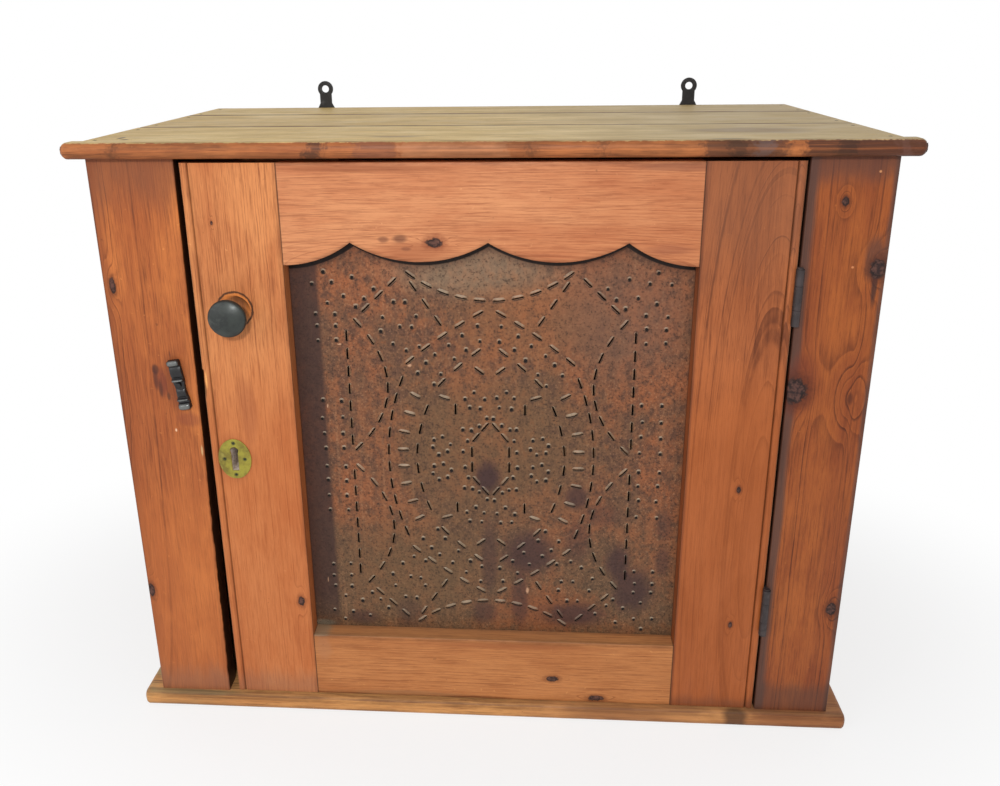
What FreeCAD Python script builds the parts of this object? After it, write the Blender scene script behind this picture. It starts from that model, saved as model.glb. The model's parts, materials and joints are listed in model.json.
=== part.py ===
import FreeCAD, Part
import math
import os
import re
import Sketcher

# A pie safe: a small wall-hung pine cupboard with one door.  The door is a
# mortised frame round a sheet of pierced tin, hung on two butt hinges at the
# right and kept shut by a cast turn button and a small rim lock at the left.
#
# Frame: +Z up, +X to the right of someone facing the door, -Y towards them.
# The origin is the middle of the case's footprint, on the underside.
# All sizes are millimetres.

SIZES = {
    # case
    "case_width": 808,
    "case_depth": 390,
    "case_height": 659.5,
    "bottom_thickness": 19.5,
    "bottom_side_overhang": 21,
    "bottom_front_overhang": 8,
    "bottom_nose_radius": 5,
    "bottom_board_width": 204,
    "top_thickness": 17,
    "top_side_overhang": 17.5,
    "top_ear_depth": 20,
    "top_front_overhang": 17,
    "top_nose_radius": 6.5,
    "top_board_width": 147,
    "board_gap": 0.6,
    "side_thickness": 20,
    "side_board_width": 180,
    "face_thickness": 20.5,
    "face_left_width": 92,
    "face_left_taper": 6.5,
    "face_right_width": 84.1,
    "back_thickness": 12,
    "shelf_thickness": 18,
    "shelf_level": 326,
    "shelf_setback": 42,
    "shelf_board_width": 170,
    "cleat_thickness": 18,
    "cleat_height": 30,
    "cleat_setback": 10,
    "stop_length": 100,
    "stop_height": 18,
    "stop_thickness": 18,
    "stop_inset": 60,
    "stop_clearance": 0.5,
    # door frame
    "door_thickness": 20,
    "hinge_gap": 2.4,
    "latch_gap": 4.5,
    "door_top_gap": 5.5,
    "door_bottom_gap": 1.5,
    "door_stile_left_width": 100,
    "door_stile_right_width": 97.3,
    "top_rail_width": 103,
    "bottom_rail_width": 84.5,
    "scallop_depth": 20.5,
    "end_lobe_drop": 4,
    "bead_width": 8,
    "bead_round": 3,
    "quirk_width": 1.8,
    "quirk_depth": 2.6,
    "tenon_length": 62,
    "tenon_thickness": 7,
    "tenon_shoulder": 12,
    "mortise_clearance": 0.1,
    # tin panel
    "tin_thickness": 0.5,
    "tin_lap": 13,
    "pattern_drop": 3.5,
    "slot_length": 13,
    "slot_width": 1.6,
    "tack_head": 5,
    "tack_head_thickness": 0.8,
    "tack_shank": 1.6,
    "tack_length": 9,
    "tack_inset": 6.5,
    "tack_end_inset": 40,
    # cut nails
    "nail_width": 3.2,
    "nail_length": 45,
    "short_nail_length": 30,
    # hinges
    "hinge_length": 60,
    "hinge_low_level": 160,
    "hinge_high_level": 536,
    "hinge_middle_knuckle": 25,
    "knuckle_radius": 4.3,
    "knuckle_standoff": 0.5,
    "knuckle_play": 0.3,
    "leaf_thickness": 1.6,
    "leaf_width": 16,
    "leaf_play": 0.6,
    "pin_radius": 2,
    "pin_clearance": 0.04,
    "pin_head_radius": 3,
    "pin_head_height": 1.6,
    "hinge_screw_pitch": 40,
    "hinge_screw_setback": 9,
    # wood screws
    "screw_head_radius": 3.2,
    "screw_head_height": 1,
    "screw_shank_radius": 1.7,
    "screw_length": 15,
    # knob
    "knob_inset": 43,
    "knob_level": 515,
    "knob_radius": 20.5,
    "knob_rim": 8,
    "knob_round": 4,
    "knob_neck_radius": 7.5,
    "knob_neck_length": 18,
    "knob_recess_radius": 18.5,
    "knob_recess_depth": 0.8,
    "knob_screw_radius": 2.2,
    "knob_screw_head_radius": 5,
    "knob_screw_head_height": 2.5,
    "knob_screw_reach": 15,
    # escutcheon and keyhole
    "keyhole_inset": 26.8,
    "keyhole_level": 340.7,
    "escutcheon_width": 37.6,
    "escutcheon_height": 49,
    "escutcheon_thickness": 1.2,
    "keyhole_radius": 4.6,
    "keyhole_slot_width": 7.6,
    "keyhole_rise": 10,
    "keyhole_fall": 14.5,
    "escutcheon_pin_radius": 1.4,
    "escutcheon_pin_length": 8,
    "escutcheon_pin_rise": 19.5,
    "escutcheon_pin_side": 11.5,
    # rim lock on the back of the door
    "lock_width": 58,
    "lock_height": 70,
    "lock_rise": 8,
    "lock_edge_inset": 1,
    "lock_plate_thickness": 1.6,
    "lock_cover_depth": 14,
    "lock_wall": 1.4,
    "lock_lug": 9,
    "bolt_thickness": 7,
    "bolt_height": 11,
    "bolt_length": 40,
    "bolt_rise": 23,
    "bolt_play": 0.3,
    "bolt_travel": 14,
    "bolt_notch_width": 9,
    "bolt_notch_depth": 3,
    "bolt_stump_inset": 17,
    "lock_pin_radius": 1.5,
    "spring_thickness": 0.6,
    "spring_width": 5,
    "spring_length": 34,
    "lock_screw_inset": 8,
    "lock_screw_length": 12,
    # turn button
    "button_inset": 25.6,
    "button_level": 431.5,
    "button_tilt": 8.6,
    "button_length": 58,
    "button_width": 13.5,
    "button_waist": 9,
    "button_foot_length": 13,
    "button_waist_length": 17,
    "button_plate": 4.6,
    "button_band": 7.2,
    "button_roll_length": 8,
    "button_roll_radius": 5,
    "button_roll_base": 5.6,
    "button_ridge_level": 33.4,
    "button_ridge_length": 3.6,
    "button_ridge_radius": 2.2,
    "button_bead_level": 10,
    "button_gap": 0.6,
    "button_screw_radius": 1.9,
    "button_screw_clearance": 0.08,
    "button_screw_head_radius": 3.4,
    "button_screw_head_height": 1.6,
    "button_screw_play": 0.3,
    "button_screw_reach": 17,
    # hanging plates
    "hanger_spacing": 515,
    "hanger_shift": 13.2,
    "hanger_thickness": 2.5,
    "hanger_eye_radius": 11,
    "hanger_hole_radius": 5,
    "hanger_rise": 26,
    "hanger_neck_width": 17,
    "hanger_base_width": 30,
    "hanger_base_drop": 44,
    "hanger_shoulder_rise": 6,
    "hanger_shoulder_height": 12,
    "hanger_screw_drop": 10,
    "hanger_screw_pitch": 22,
    "hanger_screw_length": 10,
}

# Places worked out from the sizes, in the words of the sheet.
PLACES = {
    "front": "-case_depth / 2",
    "back": "case_depth / 2",
    "floor": "bottom_thickness",
    "ceiling": "bottom_thickness + case_height",
    "case_left": "-case_width / 2",
    "case_right": "case_width / 2",
    "side_depth": "case_depth - face_thickness - back_thickness",
    "inside_width": "case_width - 2 * side_thickness",
    "door_left": "case_left + face_left_width + latch_gap",
    "door_right": "case_right - face_right_width - hinge_gap",
    "door_bottom": "floor + door_bottom_gap",
    "door_height": "case_height - door_bottom_gap - door_top_gap",
    "door_back": "front + door_thickness",
    "opening_left": "door_left + door_stile_left_width",
    "opening_right": "door_right - door_stile_right_width",
    "opening_width": "opening_right - opening_left",
    "opening_bottom": "door_bottom + bottom_rail_width",
    "opening_top": "door_bottom + door_height - top_rail_width",
    "opening_height": "opening_top - opening_bottom",
    "tenon_front": "(door_thickness - tenon_thickness) / 2",
    "door_top": "door_bottom + door_height",
    "end_lobe_height": "scallop_depth + end_lobe_drop",
    "lobe_radius": "((opening_width / 6)^2 + scallop_depth^2) / (2 * scallop_depth)",
    "end_lobe_radius": "((opening_width / 6)^2 + end_lobe_height^2) / (2 * end_lobe_height)",
    "top_tenon_low": "opening_top + tenon_shoulder",
    "top_tenon_high": "door_top - tenon_shoulder",
    "bottom_tenon_low": "door_bottom + tenon_shoulder",
    "bottom_tenon_high": "opening_bottom - tenon_shoulder",
    "tin_left": "opening_left - tin_lap",
    "tin_low": "opening_bottom - tin_lap",
    "tin_high": "opening_top + scallop_depth + tin_lap",
    "hinge_x": "door_right + hinge_gap / 2",
    "hinge_y": "front - knuckle_standoff - knuckle_radius",
    "knob_x": "door_left + knob_inset",
    "key_x": "door_left + keyhole_inset",
    "lock_left": "door_left + lock_edge_inset",
    "lock_bottom": "keyhole_level + lock_rise - lock_height / 2",
    "lock_top": "lock_bottom + lock_height",
    "lock_inside": "door_back + lock_plate_thickness",
    "bolt_y": "lock_inside + bolt_play",
    "bolt_z": "keyhole_level + bolt_rise",
    "spring_low": "bolt_z + bolt_height / 2 + bolt_play",
    "spring_bow": "lock_top - lock_lug - lock_wall - spring_thickness - spring_low",
    "button_x": "door_left - button_inset",
    "button_face": "front - button_gap - button_plate",
    "shelf_top": "floor + shelf_level",
    "shelf_under": "shelf_top - shelf_thickness",
    "top_surface": "ceiling + top_thickness",
    "inside_back": "back - back_thickness",
}

# The pierced pattern, one quarter of it.  Each run is a row of slots on an arc
# from one point to another, given as shares of half the opening's width and
# height measured from its middle, with the number of slots and how far the arc
# bows to the left of its chord, as a share of the chord.
SLOT_RUNS = [
    # start, end, slots, bow
    ((0.00, 0.81), (0.43, 0.96), 5, -0.09),   # dished arc along the top
    ((0.54, 0.00), (0.44, 0.45), 5, -0.05),   # outer oval, side
    ((0.45, 0.48), (0.01, 0.77), 5, -0.03),   # outer oval, shoulder
    ((0.74, 0.02), (0.71, 0.74), 9, 0.25),    # lobe that bows in from the side
    ((0.73, 0.05), (0.73, 0.68), 7, 0.00),    # upright row at the side
    ((0.45, 0.93), (0.66, 0.74), 3, 0.00),    # corner, outer leg
    ((0.41, 0.92), (0.23, 0.67), 3, 0.00),    # corner, inner leg
    ((0.39, 0.00), (0.31, 0.31), 3, -0.05),   # inner oval, side
    ((0.29, 0.36), (0.02, 0.59), 3, -0.03),   # inner oval, shoulder
    ((0.10, 0.09), (0.005, 0.20), 2, 0.00),   # point of the middle lozenge
]
# Single slots: place as above, and the angle above the horizontal in degrees.
SINGLE_SLOTS = [
    ((0.462, 0.045), 0),
    ((0.453, 0.140), 12),
    ((0.421, 0.239), 17),
    ((0.388, 0.333), 29),
    ((0.236, 0.324), 18),
    ((0.180, 0.266), 90),
    ((0.055, 0.464), 38),
    ((0.098, 0.041), 90),
]

doc = FreeCAD.newDocument("pie_safe")
sheet = doc.addObject("Spreadsheet::Sheet", "sizes")
for row, (alias, number) in enumerate(SIZES.items(), start=1):
    sheet.set(f"A{row}", alias)
    sheet.set(f"B{row}", str(number))
    sheet.setAlias(f"B{row}", alias)
doc.recompute()

nodes = []


def formula(text):
    """A formula in the words of the sheet, as an expression."""
    def word(match):
        name = match[0]
        if name in SIZES:
            return "sizes." + name
        if name in PLACES:
            return "(" + formula(PLACES[name]) + ")"
        return name
    return re.sub(r"[A-Za-z_]\w*", word, text)


def value(text):
    """The number that a formula gives."""
    return float(sheet.evalExpression(formula(text)))


def bind(target, prop, text):
    target.setExpression(prop, formula(text))


def place(target, x, y, z):
    bind(target, "Placement.Base.x", x)
    bind(target, "Placement.Base.y", y)
    bind(target, "Placement.Base.z", z)


def node(target, label):
    """Marks the finished object of one sub-part."""
    target.Label = label
    nodes.append(target)
    return target


# Ways to build

def new_body(name, x="0", y="0", z="0"):
    body = doc.addObject("PartDesign::Body", name)
    body.AllowCompound = True
    place(body, x, y, z)
    return body


def add_sketch(body, name, role, x="0", y="0", z="0"):
    """A sketch on one of the body's own planes, its origin moved on the plane."""
    sketch = body.newObject("Sketcher::SketchObject", name)
    plane = next(f for f in body.Origin.OriginFeatures if f.Role == role)
    sketch.AttachmentSupport = [(plane, "")]
    sketch.MapMode = "FlatFace"
    bind(sketch, "AttachmentOffset.Base.x", x)
    bind(sketch, "AttachmentOffset.Base.y", y)
    bind(sketch, "AttachmentOffset.Base.z", z)
    return sketch


def fix(sketch, index, end, corner, point):
    """Ties a point of the sketch to the sheet, or to an axis where it is on one."""
    for axis, line, text, number in (("DistanceX", -2, corner[0], point.x),
                                     ("DistanceY", -1, corner[1], point.y)):
        if text == "0":
            sketch.addConstraint(Sketcher.Constraint("PointOnObject", index, end, line))
        else:
            rule = sketch.addConstraint(
                Sketcher.Constraint(axis, -1, 1, index, end, number))
            bind(sketch, f"Constraints[{rule}]", text)


def draw(sketch, corners):
    """A closed outline with every corner bound to the sheet.

    A corner is (x, y), and (x, y, radius) where an arc of that radius leads on
    from it, turning left, or right where the radius starts with a minus sign.
    """
    points = [FreeCAD.Vector(value(c[0]), value(c[1]), 0) for c in corners]
    for i, corner in enumerate(corners):
        start = points[i]
        end = points[(i + 1) % len(points)]
        if len(corner) == 2:
            index = sketch.addGeometry(Part.LineSegment(start, end))
            first, last = 1, 2
        else:
            right = corner[2].startswith("-")
            radius = abs(value(corner[2]))
            half = (end - start) * 0.5
            across = FreeCAD.Vector(-half.y, half.x, 0).normalize()
            reach = math.sqrt(max(radius ** 2 - half.Length ** 2, 0))
            side = -1 if right else 1
            centre = start + half + across * reach * side
            middle = centre - across * radius * side
            arc = Part.Arc(start, middle, end)
            index = sketch.addGeometry(arc)
            first, last = (2, 1) if right else (1, 2)
            text = corner[2].lstrip("-")
            rule = sketch.addConstraint(Sketcher.Constraint("Radius", index, radius))
            bind(sketch, f"Constraints[{rule}]", text)
        fix(sketch, index, first, corner, start)
        if i:
            sketch.addConstraint(
                Sketcher.Constraint("Coincident", before[0], before[1], index, first))
        else:
            opening = (index, first)
        before = (index, last)
    sketch.addConstraint(Sketcher.Constraint("Coincident", *before, *opening))


def rectangle(sketch, left, low, right, high):
    draw(sketch, [(left, low), (right, low), (right, high), (left, high)])


def pad(body, sketch, length, backwards=False):
    """The sketch padded along its normal, or against it."""
    feature = body.newObject("PartDesign::Pad", sketch.Name + "_pad")
    feature.Profile = sketch
    bind(feature, "Length", length)
    feature.Reversed = backwards
    body.Tip = feature
    return feature


def pocket(body, sketch, length, backwards=False):
    """The sketch cut against its normal, or along it."""
    feature = body.newObject("PartDesign::Pocket", sketch.Name + "_pocket")
    feature.Profile = sketch
    bind(feature, "Length", length)
    feature.Reversed = backwards
    body.Tip = feature
    return feature


def revolve(body, sketch):
    """The sketch turned once round its own vertical axis."""
    feature = body.newObject("PartDesign::Revolution", sketch.Name + "_turned")
    feature.Profile = sketch
    feature.ReferenceAxis = (sketch, ["V_Axis"])
    feature.Angle = 360
    body.Tip = feature
    return feature


def fillet(body, radius, wanted):
    """Rounds the edges of the body so far whose two ends satisfy a test."""
    doc.recompute()
    base = body.Tip
    names = []
    for number, edge in enumerate(base.Shape.Edges, start=1):
        ends = [vertex.Point for vertex in edge.Vertexes]
        if wanted(*ends):
            names.append(f"Edge{number}")
    feature = body.newObject("PartDesign::Fillet", body.Name + "_rounded")
    feature.Base = (base, names)
    bind(feature, "Radius", radius)
    body.Tip = feature
    return feature


def slab(name, x, y, z, width, depth, height):
    """A plain sawn board with its lower front left corner at a place."""
    body = new_body(name, x, y, z)
    sketch = add_sketch(body, name + "_outline", "XY_Plane")
    rectangle(sketch, "0", "0", width, depth)
    pad(body, sketch, height)
    return body


def block(name, x, y, z, width, depth, height):
    """A plain box, used as a cutter or as a piece of a fitting."""
    part = doc.addObject("Part::Box", name)
    bind(part, "Length", width)
    bind(part, "Width", depth)
    bind(part, "Height", height)
    place(part, x, y, z)
    return part


HEADINGS = {
    "up": FreeCAD.Rotation(FreeCAD.Vector(1, 0, 0), 0),
    "down": FreeCAD.Rotation(FreeCAD.Vector(1, 0, 0), 180),
    "back": FreeCAD.Rotation(FreeCAD.Vector(1, 0, 0), -90),
    "forward": FreeCAD.Rotation(FreeCAD.Vector(1, 0, 0), 90),
    "right": FreeCAD.Rotation(FreeCAD.Vector(0, 1, 0), 90),
    "left": FreeCAD.Rotation(FreeCAD.Vector(0, 1, 0), -90),
}


def rod(name, x, y, z, radius, length, heading="up"):
    """A round bar that starts at a place and runs in a heading."""
    part = doc.addObject("Part::Cylinder", name)
    part.Placement = FreeCAD.Placement(FreeCAD.Vector(), HEADINGS[heading])
    bind(part, "Radius", radius)
    bind(part, "Height", length)
    place(part, x, y, z)
    return part


def stud(name, x, y, z, radius, length, heading="up"):
    """As a rod but six-sided, which keeps the facets of small fasteners few."""
    part = doc.addObject("Part::Prism", name)
    part.Polygon = 6
    part.Placement = FreeCAD.Placement(FreeCAD.Vector(), HEADINGS[heading])
    bind(part, "Circumradius", radius)
    bind(part, "Height", length)
    place(part, x, y, z)
    return part


def fuse(name, *pieces):
    joined = doc.addObject("Part::MultiFuse", name)
    joined.Refine = True
    joined.Shapes = list(pieces)
    return joined


def group(name, *pieces):
    bundle = doc.addObject("Part::Compound", name)
    bundle.Links = list(pieces)
    return bundle


def carve(target, *tools):
    """The target with each tool cut out of it."""
    for number, tool in enumerate(tools, start=1):
        cut = doc.addObject("Part::Cut", f"{target.Name}_{number}")
        cut.Base = target
        cut.Tool = tool
        target = cut
    return target


def bar(name, x, y, z, heading, wide, deep, reach):
    """A square bar that starts at a place, centred on it, and runs in a heading."""
    x_mid, y_mid = f"{x} - {wide} / 2", f"{y} - {wide} / 2"
    y_low, z_low = f"{y} - {deep} / 2", f"{z} - {deep} / 2"
    layouts = {
        "up": (x_mid, y_low, z, wide, deep, reach),
        "down": (x_mid, y_low, f"{z} - {reach}", wide, deep, reach),
        "back": (x_mid, y, z_low, wide, reach, deep),
        "forward": (x_mid, f"{y} - {reach}", z_low, wide, reach, deep),
        "right": (x, y_mid, z_low, reach, wide, deep),
        "left": (f"{x} - {reach}", y_mid, z_low, reach, wide, deep),
    }
    return block(name, *layouts[heading])


def nail(name, x, y, z, heading, length="nail_length"):
    """A square cut nail driven flush."""
    return bar(name, x, y, z, heading, "nail_width", "nail_width", length)


def screw(name, x, y, z, heading, length="screw_length"):
    """A wood screw with its head let in flush at a place."""
    head = stud(name + "_head", x, y, z, "screw_head_radius", "screw_head_height", heading)
    shank = stud(name + "_shank", x, y, z, "screw_shank_radius", length, heading)
    return fuse(name, head, shank)


def same(a, b):
    return abs(a - b) < 1e-6


def round_nose(body, radius, length, front_too=True):
    """Rounds the two ends of a board, and its front edge with them."""
    def wanted(start, end):
        along_end = same(start.x, end.x) and (same(start.x, 0) or same(start.x, length))
        along_front = same(start.y, 0) and same(end.y, 0)
        level = same(start.z, end.z)
        return level and (along_end or (front_too and along_front))
    return fillet(body, radius, wanted)


ENDS = {"left": "case_left + side_thickness / 2",
        "right": "case_right - side_thickness / 2"}
NAIL_SHARES = ("1 / 6", "5 / 6")
BACK_NAIL_SHARES = ("1 / 4", "3 / 4")


# Nails, which are also what drills the boards

def board_nails(name, boards, z, heading):
    """Two nails in each end of each board; a board is its (y, depth)."""
    nails = []
    for number, (y, depth) in enumerate(boards, start=1):
        for side, x in ENDS.items():
            for share in NAIL_SHARES:
                nails.append(nail(f"{name}_{number}_{side}_{share[0]}",
                                  x, f"{y} + ({depth}) * {share}", z, heading))
    return group(name + "_all", *nails)


# The top: three boards nailed down on the sides.  The front one is rounded along
# its front edge and runs past the sides in a short ear at each end.

TOP_FRONT = "front - top_front_overhang"
TOP_PITCH = "top_board_width + board_gap"
TOP_BOARDS = {
    "front": (TOP_FRONT, "top_board_width"),
    "middle": (f"{TOP_FRONT} + {TOP_PITCH}", "top_board_width"),
    "back": (f"{TOP_FRONT} + 2 * ({TOP_PITCH})",
             f"case_depth + top_front_overhang - 2 * ({TOP_PITCH})"),
}
NOSE_LENGTH = "case_width + 2 * top_side_overhang"
top_nails = board_nails("top_nail", TOP_BOARDS.values(), "top_surface", "down")

stop_x = "door_left + stop_inset"
stop_y = "door_back + stop_clearance"
stop_nails = group("stop_nails_all", *[
    nail(f"stop_nail_{share[0]}", f"{stop_x} + stop_length * {share}",
         f"{stop_y} + stop_thickness / 2", "ceiling - stop_height", "up",
         "short_nail_length")
    for share in NAIL_SHARES])

nose_board = new_body("top_front", "case_left - top_side_overhang", TOP_FRONT, "ceiling")
outline = add_sketch(nose_board, "top_front_outline", "XY_Plane")
draw(outline, [
    ("0", "0"),
    (NOSE_LENGTH, "0"),
    (NOSE_LENGTH, "top_ear_depth"),
    ("top_side_overhang + case_width", "top_ear_depth"),
    ("top_side_overhang + case_width", "top_board_width"),
    ("top_side_overhang", "top_board_width"),
    ("top_side_overhang", "top_ear_depth"),
    ("0", "top_ear_depth"),
])
pad(nose_board, outline, "top_thickness")
round_nose(nose_board, "top_nose_radius", value(NOSE_LENGTH))
node(carve(nose_board, top_nails, stop_nails), "top_board_front")
for which in ("middle", "back"):
    y, depth = TOP_BOARDS[which]
    board = slab(f"top_{which}", "case_left", y, "ceiling", "case_width", depth,
                 "top_thickness")
    node(carve(board, top_nails), f"top_board_{which}")

# The bottom: two boards, nailed up into the sides

BOTTOM_FRONT = "front - bottom_front_overhang"
BOTTOM_BOARDS = {
    "front": (BOTTOM_FRONT, "bottom_board_width"),
    "back": (f"{BOTTOM_FRONT} + bottom_board_width + board_gap",
             "case_depth + bottom_front_overhang - bottom_board_width - board_gap"),
}
BOTTOM_LENGTH = "case_width + 2 * bottom_side_overhang"
bottom_nails = board_nails("bottom_nail", BOTTOM_BOARDS.values(), "0", "up")

for which, (y, depth) in BOTTOM_BOARDS.items():
    board = slab(f"bottom_{which}", "case_left - bottom_side_overhang", y, "0",
                 BOTTOM_LENGTH, depth, "bottom_thickness")
    round_nose(board, "bottom_nose_radius", value(BOTTOM_LENGTH), which == "front")
    node(carve(board, bottom_nails), f"bottom_board_{which}")

# The back: boards laid across, nailed to the back edges of the sides

BACK_BOARDS = 4
BACK_PITCH = f"case_height / {BACK_BOARDS}"
back_nails = group("back_nails_all", *[
    nail(f"back_nail_{number}_{side}_{share[0]}", x, "back",
         f"floor + {BACK_PITCH} * ({number - 1} + {share})", "forward")
    for number in range(1, BACK_BOARDS + 1)
    for side, x in ENDS.items()
    for share in BACK_NAIL_SHARES])

# Hanging plates, screwed to the uppermost back board

HANGERS = {"left": "hanger_shift - hanger_spacing / 2",
           "right": "hanger_shift + hanger_spacing / 2"}
eye_level = "top_surface + hanger_rise"
hanger_low = "ceiling - hanger_base_drop"
shoulder_high = f"top_surface + hanger_shoulder_rise - ({hanger_low})"
shoulder_low = f"{shoulder_high} - hanger_shoulder_height"
neck_left = "(hanger_base_width - hanger_neck_width) / 2"
neck_right = "(hanger_base_width + hanger_neck_width) / 2"
hanger_screws = group("hanging_plate_screws_all", *[
    screw(f"hanger_screw_{side}_{number}", x, "back + hanger_thickness",
          f"ceiling - hanger_screw_drop - {number} * hanger_screw_pitch",
          "forward", "hanger_thickness + hanger_screw_length")
    for side, x in HANGERS.items()
    for number in range(2)])
node(hanger_screws, "hanging_plate_screws")

hanging_plates = []
for side, x in HANGERS.items():
    strap = new_body(f"hanger_{side}", f"{x} - hanger_base_width / 2", "back", hanger_low)
    outline = add_sketch(strap, f"hanger_{side}_outline", "XZ_Plane")
    draw(outline, [
        ("0", "0"),
        ("hanger_base_width", "0"),
        ("hanger_base_width", shoulder_low),
        (neck_right, shoulder_high),
        (neck_right, f"{eye_level} - ({hanger_low})"),
        (neck_left, f"{eye_level} - ({hanger_low})"),
        (neck_left, shoulder_high),
        ("0", shoulder_low),
    ])
    pad(strap, outline, "hanger_thickness", backwards=True)
    eye = rod(f"hanger_{side}_eye", x, "back", eye_level,
              "hanger_eye_radius", "hanger_thickness", "back")
    hole = rod(f"hanger_{side}_hole", x, "back", eye_level,
               "hanger_hole_radius", "hanger_thickness", "back")
    plate = fuse(f"hanger_{side}_plate", strap, eye)
    hanging_plates.append(carve(plate, hole, hanger_screws))
node(group("hanging_plates_both", *hanging_plates), "hanging_plates")

for number in range(1, BACK_BOARDS + 1):
    board = slab(f"back_{number}", "case_left", "inside_back",
                 f"floor + {BACK_PITCH} * {number - 1}",
                 "case_width", "back_thickness", f"{BACK_PITCH} - board_gap")
    drills = [back_nails, hanger_screws] if number == BACK_BOARDS else [back_nails]
    node(carve(board, *drills), f"back_board_{number}")

# The shelf: two boards on a cleat at each side

SHELF_FRONT = "front + shelf_setback"
SHELF_BOARDS = {
    "front": (SHELF_FRONT, "shelf_board_width"),
    "back": (f"{SHELF_FRONT} + shelf_board_width + board_gap",
             f"inside_back - ({SHELF_FRONT}) - shelf_board_width - board_gap"),
}
for which, (y, depth) in SHELF_BOARDS.items():
    node(slab(f"shelf_{which}", "case_left + side_thickness", y, "shelf_under",
              "inside_width", depth, "shelf_thickness"), f"shelf_board_{which}")

CLEAT_FRONT = f"{SHELF_FRONT} + cleat_setback"
CLEAT_DEPTH = f"inside_back - ({CLEAT_FRONT})"
CLEATS = {
    "left": ("case_left + side_thickness", "case_left + side_thickness + cleat_thickness",
             "left"),
    "right": ("case_right - side_thickness - cleat_thickness",
              "case_right - side_thickness - cleat_thickness", "right"),
}
cleat_nails = group("cleat_nails_all", *[
    nail(f"cleat_nail_{side}_{share[0]}", face, f"{CLEAT_FRONT} + ({CLEAT_DEPTH}) * {share}",
         "shelf_under - cleat_height / 2", heading, "short_nail_length")
    for side, (x, face, heading) in CLEATS.items()
    for share in NAIL_SHARES])
for side, (x, face, heading) in CLEATS.items():
    cleat = slab(f"cleat_{side}", x, CLEAT_FRONT, "shelf_under - cleat_height",
                 "cleat_thickness", CLEAT_DEPTH, "cleat_height")
    node(carve(cleat, cleat_nails), f"shelf_cleat_{side}")

# The sides: two upright boards each

SIDE_FRONT = "front + face_thickness"
SIDE_BOARDS = {
    "front": (SIDE_FRONT, "side_board_width"),
    "back": (f"{SIDE_FRONT} + side_board_width + board_gap",
             "side_depth - side_board_width - board_gap"),
}
SIDES = {"left": "case_left", "right": "case_right - side_thickness"}
for side, x in SIDES.items():
    for which, (y, depth) in SIDE_BOARDS.items():
        board = slab(f"side_{side}_{which}", x, y, "floor",
                     "side_thickness", depth, "case_height")
        drills = [top_nails, bottom_nails, cleat_nails]
        if which == "back":
            drills.append(back_nails)
        node(carve(board, *drills), f"side_board_{side}_{which}")

node(top_nails, "top_nails")
node(bottom_nails, "bottom_nails")
node(back_nails, "back_nails")
node(cleat_nails, "cleat_nails")

# The stop block under the top, which the door's upper rail closes against

stop = slab("stop", stop_x, stop_y, "ceiling - stop_height",
            "stop_length", "stop_thickness", "stop_height")
node(carve(stop, stop_nails), "door_stop")
node(stop_nails, "stop_nails")

# Hinges: a leaf let into the case, a leaf let into the door, and a pin

KNUCKLE_END = "(hinge_length - hinge_middle_knuckle) / 2 - knuckle_play"
LEVELS = {"lower": "hinge_low_level", "upper": "hinge_high_level"}
LEAF_FRONT = "hinge_y + knuckle_radius + knuckle_play"
leaves = {"case": [], "door": []}
leaf_plates = {"case": [], "door": []}
leaf_screws = {"case": [], "door": []}
pins = []
for level_name, level in LEVELS.items():
    low = f"{level} - hinge_length / 2"
    middle_low = f"{level} - hinge_middle_knuckle / 2"
    knuckles = {
        "case": [(low, KNUCKLE_END), (f"{middle_low} + hinge_middle_knuckle + knuckle_play",
                                      KNUCKLE_END)],
        "door": [(middle_low, "hinge_middle_knuckle")],
    }
    leaf_x = {"case": "hinge_x + leaf_play / 2",
              "door": "hinge_x - leaf_play / 2 - leaf_thickness"}
    bore = rod(f"{level_name}_bore", "hinge_x", "hinge_y", low,
               "pin_radius + pin_clearance", "hinge_length")
    for owner, barrels in knuckles.items():
        name = f"hinge_{owner}_{level_name}"
        plate = block(name + "_plate", leaf_x[owner], LEAF_FRONT, low,
                      "leaf_thickness", "leaf_width", "hinge_length")
        pieces = [plate]
        for number, (z, length) in enumerate(barrels):
            pieces.append(rod(f"{name}_knuckle_{number}", "hinge_x", "hinge_y", z,
                              "knuckle_radius", length))
            pieces.append(block(f"{name}_web_{number}", leaf_x[owner], "hinge_y", z,
                                "leaf_thickness", "knuckle_radius + knuckle_play", length))
        heading = {"case": "right", "door": "left"}[owner]
        face = {"case": "hinge_x + leaf_play / 2", "door": "hinge_x - leaf_play / 2"}[owner]
        screws = [screw(f"{name}_screw_{number}", face,
                        f"{LEAF_FRONT} + hinge_screw_setback",
                        f"{level} + ({number} - 0.5) * hinge_screw_pitch", heading)
                  for number in range(2)]
        leaves[owner].append(carve(fuse(name + "_leaf", *pieces), bore, *screws))
        leaf_plates[owner].append(plate)
        leaf_screws[owner].extend(screws)
    pin = rod(f"pin_{level_name}_shaft", "hinge_x", "hinge_y", low,
              "pin_radius", "hinge_length")
    tip = rod(f"pin_{level_name}_tip", "hinge_x", "hinge_y", f"{low} + hinge_length",
              "pin_head_radius", "pin_head_height")
    pins.append(fuse(f"pin_{level_name}", pin, tip))
for owner in leaves:
    node(group(f"{owner}_leaves", *leaves[owner]), f"hinge_{owner}_leaves")
    node(group(f"{owner}_screws", *leaf_screws[owner]), f"hinge_{owner}_screws")
node(group("pins", *pins), "hinge_pins")

# Turn button: a cast bar that swings on a screw in the left face stile

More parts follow.
